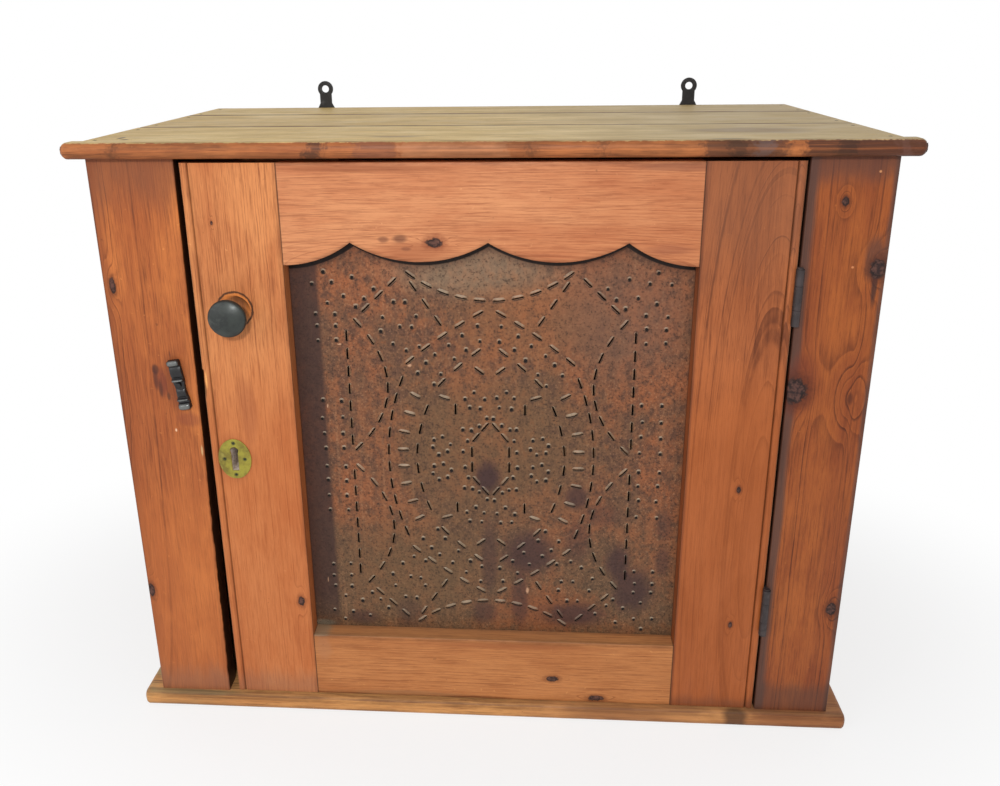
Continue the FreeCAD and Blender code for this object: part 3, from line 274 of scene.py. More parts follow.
class Timber(Material):
    """Pine with growth rings round a pith that runs beside the board.

    grain and across are the axes along and across the board, and face is the level
    of its best face.  tones are early wood, its darker patches and late wood.
    """

    def __init__(self, name, grain, across, face, tones, **changes):
        super().__init__(name, tones[0])
        self.look = SimpleNamespace(**{**TIMBER, **changes})
        deep = next(axis for axis in "YZX" if axis not in (grain, across))
        self.along = self.axis[grain]
        self.side = self.axis[across]
        self.behind = self.math("ABSOLUTE", self.axis[deep] - face)

        def grainwise(long, wide, seed, detail=3, rough=0.55):
            scale = {grain: long, across: wide, deep: wide}
            return self.noise(tuple(scale[axis] for axis in "XYZ"), self.look.seed + seed,
                              detail, rough)

        self.drift = grainwise(1.5, 6, 0, 2) - 0.5
        self.ripple = grainwise(12, 50, 5) - 0.5
        self.cloud = grainwise(14, 42, 2, 5, 0.65)
        self.patch = grainwise(3.4, 13, 3, 4, 0.6)
        self.fine = grainwise(16, 520, 9, 4, 0.75)
        self.pore = grainwise(60, 900, 7, 2, 0.5)
        self.dash = grainwise(12, 330, 11, 3, 0.6)
        self.speck = self.noise(150, self.look.seed + 4, 2)
        self.rag = self.noise(230, self.look.seed + 6, 4) - 0.5

        self.front = self.front_share() if self.look.front else None
        if self.look.front:
            tones = [self.mix(self.front, a, b) for a, b in zip(tones, self.look.front[1])]
        late = self.paint_grain(*tones)
        self.paint_bands()
        self.paint_marks()
        self.paint_knots(tones[2])
        self.paint_wear()
        rough = self.cloud.step(0.25, 0.75, self.look.rough - 0.06, self.look.rough + 0.12)
        height = late * 0.35 + self.fine * 0.6 + self.speck * 0.5
        self.finish(rough, height, 0.45, 0.4, specular=0.25)

    def front_share(self):
        """1 on a top board's front, up to a ragged edge, and on its underside."""
        limit = nose_front + self.look.front[0]
        front = (self.axis["Y"] + self.rag * 4).step(limit, limit - 0.8)
        return self.math("MAXIMUM", front, self.axis["Z"].step(top_level - 2, top_level - 3))

    def years(self):
        """The count of rings from the pith, bent round cat faces and knots."""
        look = self.look
        behind = self.behind + look.pith[1]
        if look.crook:
            reach = self.along - look.crook[0]
            behind = behind + reach * reach * (look.crook[1] * MM)
        ring = self.far(self.side - look.pith[0] + self.drift * (look.wander * 2), behind)
        ring = ring + self.ripple * (look.gap * look.ripple)
        pace = self.noise_along(ring * (0.18 / look.gap) + look.seed)
        ring = ring + pace * (look.gap * 3)
        knots = [(*where, 2 * wide, 2.8 * tall, 2.6) for *where, wide, tall in look.knots]
        for place, level, wide, tall, count in [*look.eyes, *knots]:
            far = self.far((self.side - place) / wide, (self.along - level) / tall)
            ring = ring + self.math("EXPONENT", far * far * -1) * (look.gap * count)
        return ring / look.gap

    def paint_grain(self, light, mid, dark):
        """Paints rings, patches and fibres, and gives the late wood's mask."""
        look = self.look
        self.colour = light
        years = self.years()
        turn = self.math("FRACT", years)
        year = self.node("TexWhiteNoise", {"W": self.math("FLOOR", years)}, "Value",
                         noise_dimensions="1D")
        late = turn.step(0.66, 0.93) * turn.step(0.95, 1, 1, 0)
        late = late * year.step(0, 1, 0.2, 1) * self.cloud.step(0.35, 0.65, 0.4, 1)
        self.paint(self.patch.step(0.36, 0.64), mid, look.mottle)
        self.paint(self.cloud.step(0.40, 0.70), mid, look.mottle * 0.7)
        self.paint(turn.step(0.3, 0), light, 0.3)
        self.paint(late, dark, look.lines)
        self.paint(self.fine.step(0.45, 0.72), dark, look.fibre)
        self.paint(self.fine.step(0.45, 0.28), light, look.fibre)
        self.paint(self.pore.step(0.52, 0.74), dark, look.fibre * 0.6)
        self.paint(self.dash.step(0.60, 0.72), dark, look.streaks)
        self.paint(self.speck.step(0.70, 0.80), light, look.dings, "SCREEN")
        self.paint(self.speck.step(0.28, 0.20), DIRT, look.dings)
        return late

    def paint_bands(self):
        """Soft bands across an axis, then a top board's front with its ragged seam, where a
        painted highlight alternates with grime.
        """
        for axis, low, high, soft, tint, strength in self.look.bands:
            mask = (self.axis[axis] + (self.cloud - 0.5) * (soft * 2.5)).between(low, high, soft)
            if self.front:
                mask = mask * (1 - self.front)
            self.paint(mask, tint, strength)
        if not self.front:
            return
        for low, high, tint, strength in self.look.front[2]:
            where = self.axis["X"] + (self.cloud - 0.5 + self.rag) * 30
            mask = where.between(low, high, 5) * self.front
            self.paint(mask * self.dash.step(0.35, 0.55, 0.65, 1), tint, strength)
        seam = self.front * (1 - self.front) * 3.6
        # Along the seam: a painted highlight on the rounded arris in places, and dark grime in
        # others
        self.paint(seam * self.dash.step(0.45, 0.55), (250, 200, 140))
        self.paint(seam * self.dash.step(0.45, 0.35), SOOT_AND_SHADE, 0.7)

    def paint_marks(self):
        """Stains, and rings round a knob on the board's outside, such as a dark ring mark that is
        partly painted shadow of a recess's rim.
        """
        for *ellipse, tint, strength in self.look.stains:
            mask, _ = self.spot(self.side, self.along, ellipse, (self.cloud - 0.5) * 1.6, 0.45)
            self.paint(mask, tint, strength)
        for place, level, radius, half, tint, strength in self.look.rings:
            far = self.far(self.side - place, self.along - level) + self.rag * (half * 2)
            mask = far.between(radius - half, radius + half, half * 0.5)
            self.paint(mask * self.outside(), tint, strength)

    def paint_knots(self, dark):
        for knot in self.look.knots:
            mask, far = self.spot(self.side, self.along, knot, self.rag * 1.3, 0.2)
            inside = self.mix(self.rag.step(-0.14, 0.12), (92, 62, 54), (40, 28, 28))
            rim = far.between(0.75, 1.1, 0.12) * self.rag.step(-0.2, 0.1, 0.4, 0.9)
            self.paint(far.step(2.3, 1), dark, 0.6)
            self.paint(mask, inside, 0.92)
            self.paint(rim, (30, 18, 16))

    def paint_wear(self):
        """Worn arrises, bare wood, grime with painted shade, and dust."""
        worn = self.attribute("edge") * self.cloud.step(0.35, 0.6, 0.3, 1)
        self.paint(worn, self.look.edge, self.look.edge_share)
        self.paint(self.attribute("bare"), (222, 184, 150), 0.6)
        # Dark joint lines, and painted shade on sides that face into gaps and the case
        self.paint(self.attribute("grime_and_shade"), SOOT_AND_SHADE, 0.94)
        if self.look.dust:
            lying = self.upward() * self.patch.step(0.3, 0.7, 0.4, 1)
            self.paint(lying, DUST, self.look.dust)


def wood(name, *board, **changes):
    """Pine for a board, with changes to the values of TIMBER."""
    return Timber("pine_" + name, *board, **changes).owner


def plain_material(name, light, dark, rough, scale=300):
    """A matt mottled surface."""
    g = Material(name, light)
    grain = g.noise(scale, 2, 4, 0.65)
    g.paint(grain.step(0.35, 0.65), dark)
    return g.finish(rough, grain, 0.4, 0.3)


# ---- pine, board by board

AMBER = ((216, 141, 86), (178, 99, 54), (116, 54, 26))
RUSSET = ((172, 94, 44), (132, 64, 34), (70, 30, 17))
BLEACHED = ((236, 205, 138), (206, 172, 108), (126, 92, 52))
INNER = ((158, 106, 62), (124, 78, 46), (92, 54, 30))
SIDE = ((170, 108, 60), (136, 80, 44), (80, 42, 24))
GREY_EDGE = (112, 96, 84)

wood_door_left = wood(
    "door_left", "Z", "X", case_front, AMBER, seed=1.3, pith=(-200, 63.5), gap=4.2,
    knots=[(-218.5, 153, 3.5, 6), (-279, 612, 1.2, 2)],
    stains=[(-303.5, 436, 1, 9, (244, 176, 104), 0.9), (-306, 424, 1.6, 9, (92, 66, 38), 0.7),
            (plate_centre.x, plate_centre.z, 22, 28, (150, 80, 44), 0.45),
            (-262, 400, 9, 34, (160, 88, 52), 0.5)],
    # A dark ring mark round the knob's recess, partly painted shadow of its rim, and a paler
    # orange ring inside it
    rings=[(knob_centre.x + 1, 518, 19, 1.1, (46, 30, 24), 0.85),
           (knob_centre.x + 1, 518, 15, 2.4, (224, 132, 60), 0.7)],
    bands=[("Z", 0, 420, 90, (186, 98, 46), 0.5), ("Z", 0, 45, 16, GREY_EDGE, 0.3)])
wood_door_right = wood(
    "door_right", "Z", "X", case_front, ((182, 105, 60), (138, 72, 38), (80, 36, 19)),
    seed=2.7, pith=(300, 30), crook=(250, 0.19), gap=4.4, wander=4, ripple=0.25,
    knots=[(279, 314, 2.2, 3.5), (283, 138, 2, 3.5)],
    bands=[("Z", 0, 440, 60, (176, 92, 38), 0.5), ("Z", 570, 800, 60, (136, 86, 60), 0.45),
           ("X", 200, 222.5, 1, (110, 54, 28), 0.5), ("Z", 0, 32, 8, (92, 56, 40), 0.45)])
wood_rail_top = wood(
    "rail_top", "X", "Z", case_front, ((214, 145, 99), (180, 101, 61), (128, 62, 36)),
    seed=4.1, pith=(562, 28), crook=(30, 0.3), gap=3.6, lines=0.6, wander=12, mottle=0.6,
    knots=[(591, -48.8, 4.5, 7.5)],
    stains=[(582, -70, 9, 34, (160, 90, 56), 0.55), (595.5, -83.7, 4, 7, (104, 62, 46), 0.7),
            (594.5, -101, 3, 5, (120, 72, 52), 0.7), (584.5, -78, 2, 5, (120, 68, 48), 0.6),
            (667, -120, 3, 80, (140, 78, 48), 0.5), (585, 190, 5, 20, (150, 86, 60), 0.5),
            (668, 200, 4, 50, (120, 70, 54), 0.45)])
wood_rail_bottom = wood(
    "rail_bottom", "X", "Z", case_front, ((198, 130, 76), (168, 100, 54), (120, 62, 30)),
    seed=5.9, pith=(12, 55), gap=3.4, dust=0.22, knots=[(53, 79, 3.5, 7), (27, 132, 3.5, 8)],
    stains=[(98, 30, 4, 90, (150, 84, 46), 0.5), (24, -100, 4, 90, (150, 108, 72), 0.5),
            (88, -196, 20, 8, (172, 118, 82), 0.4), (107, -199, 3, 12, (124, 122, 104), 0.5)])
wood_face_left = wood(
    "face_left", "Z", "X", case_front, ((204, 120, 62), (160, 84, 44), (92, 44, 24)),
    seed=7.7, pith=(-420, 50), crook=(700, 0.05), gap=4.2, mottle=0.85,
    knots=[(-393.7, 543, 3, 8), (-400, 163, 3.5, 8)],
    stains=[(-338, 436, 12, 32, (96, 46, 28), 0.5), (-353.5, 432, 5, 15, (110, 50, 40), 0.55),
            (-359, 448, 3.2, 5, (60, 36, 32), 0.7), (-360.3, 437, 2.2, 12, (76, 40, 34), 0.7),
            (-356, 424, 2.2, 10, (76, 44, 34), 0.7), (-348, 416, 1.8, 4, (70, 46, 34), 0.6),
            (-341, 466, 1, 4, (90, 46, 32), 0.6), (-330, 388, 12, 8, (130, 64, 44), 0.5),
            (-344.5, 375, 1.2, 2, (240, 196, 160), 0.9),
            (-317.8, 350, 1.1, 6, (206, 170, 120), 0.8)],
    bands=[("Z", 640, 800, 30, (118, 72, 50), 0.6), ("X", -410, -396, 5, (122, 64, 38), 0.5),
           ("Z", 0, 300, 60, (198, 112, 56), 0.4), ("Z", 0, 50, 18, GREY_EDGE, 0.35)])
wood_face_right = wood(
    "face_right", "Z", "X", case_front, RUSSET, seed=8.6, pith=(366, 62), gap=4.6,
    lines=0.85, wander=6, mottle=0.85, ripple=0.22, eyes=[(385, 425, 15, 36, 3.6)],
    knots=[(395.5, 565.6, 7, 9), (327.5, 432, 11, 13), (394, 163.5, 5, 8),
           (356.5, 633.5, 3.2, 4.2)],
    stains=[(384.6, 424, 4, 8, (84, 40, 24), 0.75), (394, 548, 3, 20, (52, 34, 32), 0.8),
            (392, 575, 9, 22, (84, 54, 46), 0.7), (333, 437, 16, 30, (112, 50, 30), 0.6),
            (370.8, 567, 1.2, 1.2, (216, 140, 92), 0.8),
            (386, 663, 1.2, 1.2, (216, 150, 100), 0.8)],
    bands=[("X", 310, 328.5, 3.5, (84, 60, 52), 0.85), ("Z", 654, 800, 14, (92, 60, 50), 0.7),
           ("X", 399.5, 420, 2, (96, 70, 62), 0.6), ("Z", 0, 55, 12, (88, 58, 46), 0.6)])
wood_top = wood(
    "top", "X", "Y", top_level, BLEACHED, seed=11.2, pith=(20, 50), gap=4.4, wander=16,
    lines=0.6, streaks=0.7, rough=0.5, edge=(92, 58, 34), edge_share=0.9,
    bands=[("Y", -80, -60, 2, (104, 66, 38), 0.6), ("Y", 77.5, 88.5, 2.5, (104, 66, 38), 0.65),
           ("X", 100, 600, 150, (172, 156, 124), 0.45)],
    front=(-1000, ((182, 116, 66), (146, 84, 48), (84, 42, 26)), []))
wood_nose = wood(
    "nose", "X", "Y", top_level, BLEACHED, seed=12.4, pith=(-130, 55), gap=4.4, wander=16,
    lines=0.6, streaks=0.7, rough=0.5, edge=(92, 58, 34), edge_share=0.5,
    bands=[("Y", -69.5, -50, 2, (104, 66, 38), 0.6), ("X", 100, 600, 150, (172, 156, 124), 0.45)],
    knots=[(-183, -365, 2, 3)],
    stains=[(-130, 270, 22, 60, (120, 92, 62), 0.6), (-170, -90, 6, 26, (118, 84, 64), 0.6),
            (-170, -375, 7, 3, (60, 44, 30), 0.9), (-200, 240, 3, 18, (96, 84, 70), 0.6)],
    front=(4.2, ((200, 124, 70), (164, 88, 48), (84, 42, 26)), [
        (-371, -361, (70, 40, 28), 0.6), (-171, -156, (66, 40, 32), 0.85),
        (-126, -84, (104, 66, 60), 0.5), (-80, 30, (214, 154, 112), 0.35),
        (49, 52, (50, 30, 24), 0.8), (116, 119, (50, 30, 24), 0.8),
        (214, 290, (72, 42, 34), 0.8), (240, 254, (26, 18, 20), 0.8),
        (262, 276, (112, 100, 100), 0.5), (306, 450, (72, 38, 28), 0.92),
        (335, 352, (30, 20, 18), 0.6), (392, 404, (120, 84, 76), 0.4)]))
wood_base = wood(
    "base", "X", "Y", base_level, ((228, 166, 100), (192, 128, 72), (112, 66, 36)), seed=13.8,
    pith=(-200, 50), gap=3.6, dust=0.16, streaks=0.7,
    bands=[("X", 300, 500, 30, (138, 76, 46), 0.65), ("X", 60, 280, 40, (196, 132, 86), 0.4)],
    stains=[(-100, -418, 75, 12, (136, 136, 100), 0.85),
            (-198.5, -360, 4, 60, (120, 116, 84), 0.6), (-203, 296, 8, 12, (74, 44, 28), 0.8),
            (-203, 160, 5, 60, (132, 78, 44), 0.5)])
wood_side_left = wood(
    "side_left", "Z", "Y", -case_side, SIDE, seed=15.1, pith=(-80, 35), crook=(300, 0.16),
    gap=4.4, wander=16, knots=[(-30, 210, 7, 11), (110, 490, 5, 8)])
wood_side_right = wood(
    "side_right", "Z", "Y", case_side, SIDE, seed=16.4, pith=(50, 35), crook=(420, 0.16),
    gap=4.4, wander=16, knots=[(-100, 440, 6, 9), (90, 150, 7, 10)])
wood_back = wood(
    "back", "X", "Z", case_back, ((150, 108, 68), (124, 86, 54), (86, 56, 34)), seed=17.5,
    pith=(360, 50), crook=(100, 0.2), gap=4.6, wander=20, rough=0.6, edge_share=0.6,
    knots=[(270, -180, 7, 12), (440, 200, 6, 10), (100, 60, 5, 9)])
wood_shelf = wood(
    "shelf", "X", "Y", shelf_level, INNER, seed=19.5, pith=(0, 50), gap=4.6, wander=20,
    rough=0.55, dust=0.2)


# ---- mesh helpers

def turns(count, start=0, whole=tau):
    """Evenly spaced angles, the last one short of the whole."""
    return [start + whole * k / count for k in range(count)]


def around(x, z, radius, angles):
    """Points about a centre, one for each angle."""
    return [(x + radius * cos(a), z + radius * sin(a)) for a in angles]


def plain_section(left, right, low, high, radii, inset=4, shade_sides=()):
    """A rectangle with rounded corners, as (a, b, edge, grime, bare) points; the grime share is
    grime and painted shade.

    radii are those of the corners low-left, high-left, high-right, low-right, and
    grimy names the sides that are painted black, as painted shade in a gap or inside the case.
    """
    centre = ((left + right) / 2, (low + high) / 2)
    corners = (((left, low), (1, 1)), ((left, high), (1, -1)),
               ((right, high), (-1, -1)), ((right, low), (-1, 1)))
    points = []

    def inward(k, axis):
        """Past a corner's round and the inset, but never past the middle."""
        corner, ways = corners[k]
        place = corner[axis] + ways[axis] * (radii[k] + inset)
        return (min if ways[axis] > 0 else max)(place, centre[axis])

    for k, side in enumerate(("left", "high", "right", "low")):
        (x, y), (across, up) = corners[k]
        radius = radii[k]
        angles = [radians(270 - 90 * (k + n / 4)) for n in range(5)]
        points += [(a, b, 1, 0, 0)
                   for a, b in around(x + across * radius, y + up * radius, radius, angles)]
        after = (k + 1) % 4
        if side in ("left", "right"):
            rests = [(x, inward(k, 1)), (x, inward(after, 1))]
        else:
            rests = [(inward(k, 0), y), (centre[0], y), (inward(after, 0), y)]
        points += [(a, b, 0, 1 if side in shade_sides else 0, 0) for a, b in rests]
    return points


def stations(start, end, end_round, pitch=12):
    """Places along a board, close together where its ends are rounded."""
    near = [end_round * (1 - cos(radians(a))) for a in (0, 25, 50, 75, 90)]
    near.append(end_round + 3)
    count = max(2, round((end - start) / pitch))
    inner = [start + (end - start) * k / count for k in range(1, count)]
    inner = [place for place in inner if start + near[-1] < place < end - near[-1]]
    return [start + n for n in near] + inner + [end - n for n in reversed(near)]


def end_inset(place, start, end, end_round):
    """How far a rounded end draws the section in at a place."""
    far = min(place - start, end - place)
    if far >= end_round:
        return 0
    return end_round - sqrt(max(end_round ** 2 - (end_round - far) ** 2, 0))


def vertices(mesh, points):
    """Points in millimetres as the mesh's vertices, in metres."""
    return [mesh.verts.new([c * MM for c in point]) for point in points]


def strip(mesh, first, second, closed=True):
    """Faces between two rows of vertices, and round to the start if closed."""
    count = len(first)
    return [mesh.faces.new((first[k], first[(k + 1) % count],
                            second[(k + 1) % count], second[k]))
            for k in range(count if closed else count - 1)]


def skin(mesh, rings):
    """Faces between rings of vertices, and over the first and last ring."""
    for first, second in zip(rings, rings[1:]):
        strip(mesh, first, second)
    mesh.faces.new(rings[0][::-1])
    mesh.faces.new(rings[-1])
    bmesh.ops.recalc_face_normals(mesh, faces=mesh.faces)


def new_object(name, data):
    made = bpy.data.objects.new(name, data)
    bpy.context.scene.collection.objects.link(made)
    return made


def mesh_object(name, mesh):
    data = bpy.data.meshes.new(name)
    mesh.to_mesh(data)
    mesh.free()
    return new_object(name, data)


def finish_mesh(mesh, name, body, material, replaces=(), sharp=35):
    """The mesh as an object that rides on a body and stands for CAD nodes."""
    piece = mesh_object(name, mesh)
    for polygon in piece.data.polygons:
        polygon.use_smooth = True
    piece.data.set_sharp_from_angle(angle=radians(sharp))
    piece.data.materials.append(material)
    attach(piece, body)
    if replaces:
        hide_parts(*replaces)
    return piece


def prism(outline, front, back):
    """A cutter: an outline in X and Z, from front to back."""
    mesh = bmesh.new()
    skin(mesh, [vertices(mesh, [(x, y, z) for x, z in outline]) for y in (front, back)])
    return mesh_object("cutter", mesh)


def cut(piece, wall, cutter):
    """The piece with a cutter's shape taken out; wall is the cut faces' material."""
    cutter.data.materials.append(wall)
    taken = piece.modifiers.new("cut", "BOOLEAN")
    taken.operation = "DIFFERENCE"
    taken.solver = "EXACT"
    taken.material_mode = "TRANSFER"
    taken.object = cutter
    shape = piece.evaluated_get(bpy.context.evaluated_depsgraph_get())
    data = bpy.data.meshes.new_from_object(shape)
    piece.modifiers.clear()
    piece.data = data
    data.set_sharp_from_angle(angle=radians(35))
    bpy.data.objects.remove(cutter)


def loft(node, grain, places, section, body, material):
    """A worn board in a CAD node's place, swept along an axis."""
    mesh = bmesh.new()
    layers = [mesh.verts.layers.float.new(look) for look in ("edge", "grime_and_shade", "bare")]
    rings = []
    for place in places:
        outline = section(place)
        points = [[a, b] for a, b, *_ in outline]
        for point in points:
            point.insert("XYZ".index(grain), place)
        ring = vertices(mesh, points)
        for vert, (_, _, *shares) in zip(ring, outline):
            for layer, share in zip(layers, shares):
                vert[layer] = share
        rings.append(ring)
    skin(mesh, rings)
    return finish_mesh(mesh, "worn_" + node, body, material, [node])


def waver(place, size, pitch, seed):
    """A smooth irregular offset along a board, from -size to size."""
    return size * noise.noise(Vector((place / pitch, seed * 7.3, seed * 2.9)))


# ---- case boards

NAIL_SHOW = 0.15
UNEVEN = 0.5            # how much an arris's roundness varies along a board


def board(node, grain, material, radii, end_round, keep=(False, False), nailed=(0, 0),
          seed=1, shade_sides=(), ears=None):
    """A straight case board with softened, slightly uneven arrises.

    keep says whether the low and high side across stay straight at the ends, and
    nailed whether nail heads show a hair proud of the under and over face.  ears
    is (from the middle, back): beyond that distance the board ends at that depth.
    """
    low, high = box(node)
    index = "XYZ".index(grain)
    a, b = (axis for axis in range(3) if axis != index)
    start, end = low[index], high[index]
    places = stations(start, end, end_round)
    if ears:
        places += [way * (ears[0] + step) for way in (-1, 1) for step in (0, 0.05)]
        places.sort()

    def section(place):
        pull = end_inset(place, start, end, end_round)
        left = low[a] + (0 if keep[0] else pull)
        right = high[a] - (0 if keep[1] else pull)
        if ears and abs(place) > ears[0] + 0.01:
            right = ears[1]
        under = low[b] + pull + nailed[0] * NAIL_SHOW
        over = high[b] - pull - nailed[1] * NAIL_SHOW
        sizes = [max(radius + abs(waver(place, UNEVEN, 30, seed + k)), 0.2)
                 for k, radius in enumerate(radii)]
        return plain_section(left, right, under, over, sizes, shade_sides=shade_sides)

    loft(node, grain, places, section, "case", material)


NOSE = 6.5
BASE_NOSE = 5
EAR_DEPTH = 20
board("top_board_front", "X", wood_nose, [NOSE, NOSE, 0.8, 0.8], NOSE, keep=(False, True),
      nailed=(0, 1), seed=3, ears=(case_side, nose_front + EAR_DEPTH))
for which in ("middle", "back"):
    board("top_board_" + which, "X", wood_top, [0.8, 2.2, 1, 0.8], 0.8, nailed=(0, 1), seed=4)
board("bottom_board_front", "X", wood_base, [BASE_NOSE, BASE_NOSE, 0.6, 0.6], BASE_NOSE,
      keep=(False, True), nailed=(1, 0), seed=6)
board("bottom_board_back", "X", wood_base, [0.6] * 4, BASE_NOSE, keep=(True, True),
      nailed=(1, 0), seed=7)
for side, material in (("left", wood_side_left), ("right", wood_side_right)):
    for which in ("front", "back"):
        board(f"side_board_{side}_{which}", "Z", material, [0.6] * 4, 0.2, seed=8)
    board(f"shelf_cleat_{side}", "Y", wood_shelf, [0.8] * 4, 0.5, seed=13)
for number in range(1, 5):
    board(f"back_board_{number}", "X", wood_back, [0.8] * 4, 0.5, seed=number)
for which in ("front", "back"):
    board(f"shelf_board_{which}", "X", wood_shelf, [0.8] * 4, 0.3, seed=12)
board("door_stop", "X", wood_shelf, [0.8] * 4, 0.5, seed=14)

FACE_TAPER = 6.5
NIBBLED_BELOW = 300


def face_stile_left():
    """The left face stile narrows downwards, and its inner edge is nibbled low down."""
    low, high = box("face_stile_left")

    def section(place):
        share = (place - low.z) / (high.z - low.z)
        rough = 1.3 if place < NIBBLED_BELOW else 0.35
        nibble = abs(waver(place, rough, 11, 3.3)) + abs(waver(place, 0.6, 50, 2))
        right = high.x - FACE_TAPER * (1 - share) - nibble
        # The inner side, seen in the gap, and the back are painted black as shade.
        return plain_section(low.x, right, low.y, high.y, [1.6, 0.6, 0.6, 0.8], 1,
                             ("right", "high"))

    loft("face_stile_left", "Z", stations(low.z, high.z, 0.2, 4), section, "case",
         wood_face_left)


face_stile_left()
# Its inner side, seen in the gap, and its back are painted black as shade.
board("face_stile_right", "Z", wood_face_right, [1.4] * 4, 0.2, seed=21,
      shade_sides=("left", "high"))


# ---- door frame

BEAD = 8
QUIRK = 1.8
QUIRK_DEPTH = 2
BEAD_ROUND = 3
CHIP_LOW, CHIP_HIGH = 414.8, 447.5
CHIP_DEPTH = 1.8
STILE_PITCH = 4.98


def beaded_section(outer, inner, front, back, chip, bare):
    """A stile's section with a quirked bead on its outer front arris."""
    way = 1 if inner > outer else -1
    far = abs(inner - outer)
    thick = back - front
    past = BEAD + QUIRK
    points = []

    def add(out, deep, edge, grime_and_shade=0, bare=0):
        points.append((outer + way * out, front + deep, edge, grime_and_shade, bare))

    # The fourth value darkens a point: painted shade on the outer edge that faces the gap, and
    # dark lines in the quirk and along the inner edge.
    add(0.6, thick, 0.6, 1)
    add(0, thick - 0.6, 0.6, 1)
    add(0, BEAD_ROUND + 1 + chip, 0.2, 1)
    for k in range(6):
        angle = radians(90 * k / 5)
        worn = chip * (1 - k / 5)
        add(worn + BEAD_ROUND * (1 - cos(angle)),
            worn * 0.3 + BEAD_ROUND * (1 - sin(angle)), 0.1, 0, bare if k < 3 else 0)
    for out, deep, edge, grime_and_shade in (
            (BEAD - 2.2, 0, 0, 0), (BEAD - 1, 0.3, 0.3, 0), (BEAD - 0.2, 0.9, 0.7, 0.1),
            (BEAD + QUIRK * 0.4, QUIRK_DEPTH, 0.8, 0.55), (past, 0.6, 0.7, 0.1),
            (past + 0.6, 0, 0.3, 0), (past + 4, 0, 0, 0), (far - 4, 0, 0, 0),
            (far - 0.7, 0, 0.9, 0), (far - 0.2, 0.3, 0.9, 0.75), (far, 1.2, 0.6, 0.1),
            (far, thick - 4, 0.3, 0), (far, thick - 0.6, 0.6, 0.9), (far - 0.6, thick, 0.6, 0)):
        add(out, deep, edge, grime_and_shade)
    return points


def door_stile(side, material, seed):
    """A beaded door stile; the left one's outer edge is chipped beside the keyhole."""
    low, high = box("door_stile_" + side)
    chipped = side == "left"
    outer, inner = (low.x, high.x) if chipped else (high.x, low.x)
    places = stations(low.z, high.z, 0.8, STILE_PITCH)
    if chipped:
        places = sorted(places + [CHIP_HIGH, CHIP_HIGH + 1, CHIP_LOW])

    def section(place):
        chip = abs(waver(place, 0.35, 40, seed))
        if chipped and CHIP_LOW < place <= CHIP_HIGH:
            chip += CHIP_DEPTH * (place - CHIP_LOW) / (CHIP_HIGH - CHIP_LOW)
        bare = max(0.5 + waver(place, 0.9, 30, 5.5), 0)
        return beaded_section(outer, inner, low.y, high.y, chip, bare)

    return loft("door_stile_" + side, "Z", places, section, "door", material)


KEYHOLE_RISE = 10
KEYHOLE_FALL = 14.5
KEYHOLE_RADIUS = 4.6
KEYHOLE_SLOT = 7.6
KEYHOLE_DEPTH = 25
KNOB_RECESS = 18.5
RECESS_DEPTH = 0.8
SPARE = 5


def keyhole():
    """The keyhole's outline: a round top over a straight slot."""
    half = KEYHOLE_SLOT / 2
    foot = plate_centre.z - KEYHOLE_FALL
    join = asin(half / KEYHOLE_RADIUS)
    angles = [-pi / 2 + join + (tau - 2 * join) * k / 24 for k in range(25)]
    return [(plate_centre.x - half, foot), (plate_centre.x + half, foot),
            *around(plate_centre.x, plate_centre.z + KEYHOLE_RISE, KEYHOLE_RADIUS, angles)]


# The keyhole's cut walls are pale with dust, and lightened further as painted light against the
# shade inside the hole.
keyhole_dust_and_light = plain_material("keyhole_wall", (226, 212, 198), (176, 158, 144), 0.8)
recess = around(knob_centre.x, knob_centre.z, KNOB_RECESS, turns(40))
stile = door_stile("left", wood_door_left, 4.4)
cut(stile, keyhole_dust_and_light, prism(keyhole(), case_front - SPARE, case_front + KEYHOLE_DEPTH))
cut(stile, wood_door_left, prism(recess, case_front - SPARE, case_front + RECESS_DEPTH))
door_stile("right", wood_door_right, 6.1)

SCALLOP = 20.5
END_DROP = 4
LOBE = (opening_right - opening_left) / 3
lobe_level = box("door_rail_top")[0].z + END_DROP


def scallop(x):
    """Height of the top rail's lower edge: two lobes and a half lobe at each end."""
    x = min(max(x, opening_left), opening_right)
    share = (x - opening_left) / LOBE - 0.5
    if 0 <= share <= 2:
        depth = SCALLOP
        off = abs((share % 1) - 0.5) * LOBE
    else:
        depth = SCALLOP + END_DROP
        off = min(x - opening_left, opening_right - x)
    radius = ((LOBE / 2) ** 2 + depth ** 2) / (2 * depth)
    return lobe_level + SCALLOP - depth + radius - sqrt(radius ** 2 - off ** 2)


def rail(node, material, under, front_round, pitch, extra=()):
    """A rail between the stiles; under gives the height of its lower edge."""
    low, high = box(node)
    places = {*stations(opening_left, opening_right, 0.3, pitch), *extra,
              opening_left + 1, opening_right - 1}

    def section(place):
        points = plain_section(low.y, high.y, under(place), high.z, [0.8, front_round, 0.8, 0.8])
        if min(place - opening_left, opening_right - place) < 0.5:
            points = [(a, b, 1, 0.8, 0) for a, b, *_ in points]
        return points

    loft(node, "X", sorted(places), section, "door", material)


cusps = [opening_left + LOBE * (k + 0.5) for k in range(3)]
rail("door_rail_top", wood_rail_top, scallop, 1.2, 4, [c + d for c in cusps for d in (-1, 0, 1)])
rail("door_rail_bottom", wood_rail_bottom, lambda x: box("door_rail_bottom")[0].z, 2.2, 10)


# ---- pierced tin

HALF_WIDE = (opening_right - opening_left) / 2
HALF_HIGH = 232.5
CENTRE_X = (opening_left + opening_right) / 2
PATTERN_DROP = 3.5       # how far the pattern's foot lies below the opening's
CENTRE_Z = opening_low + HALF_HIGH - PATTERN_DROP

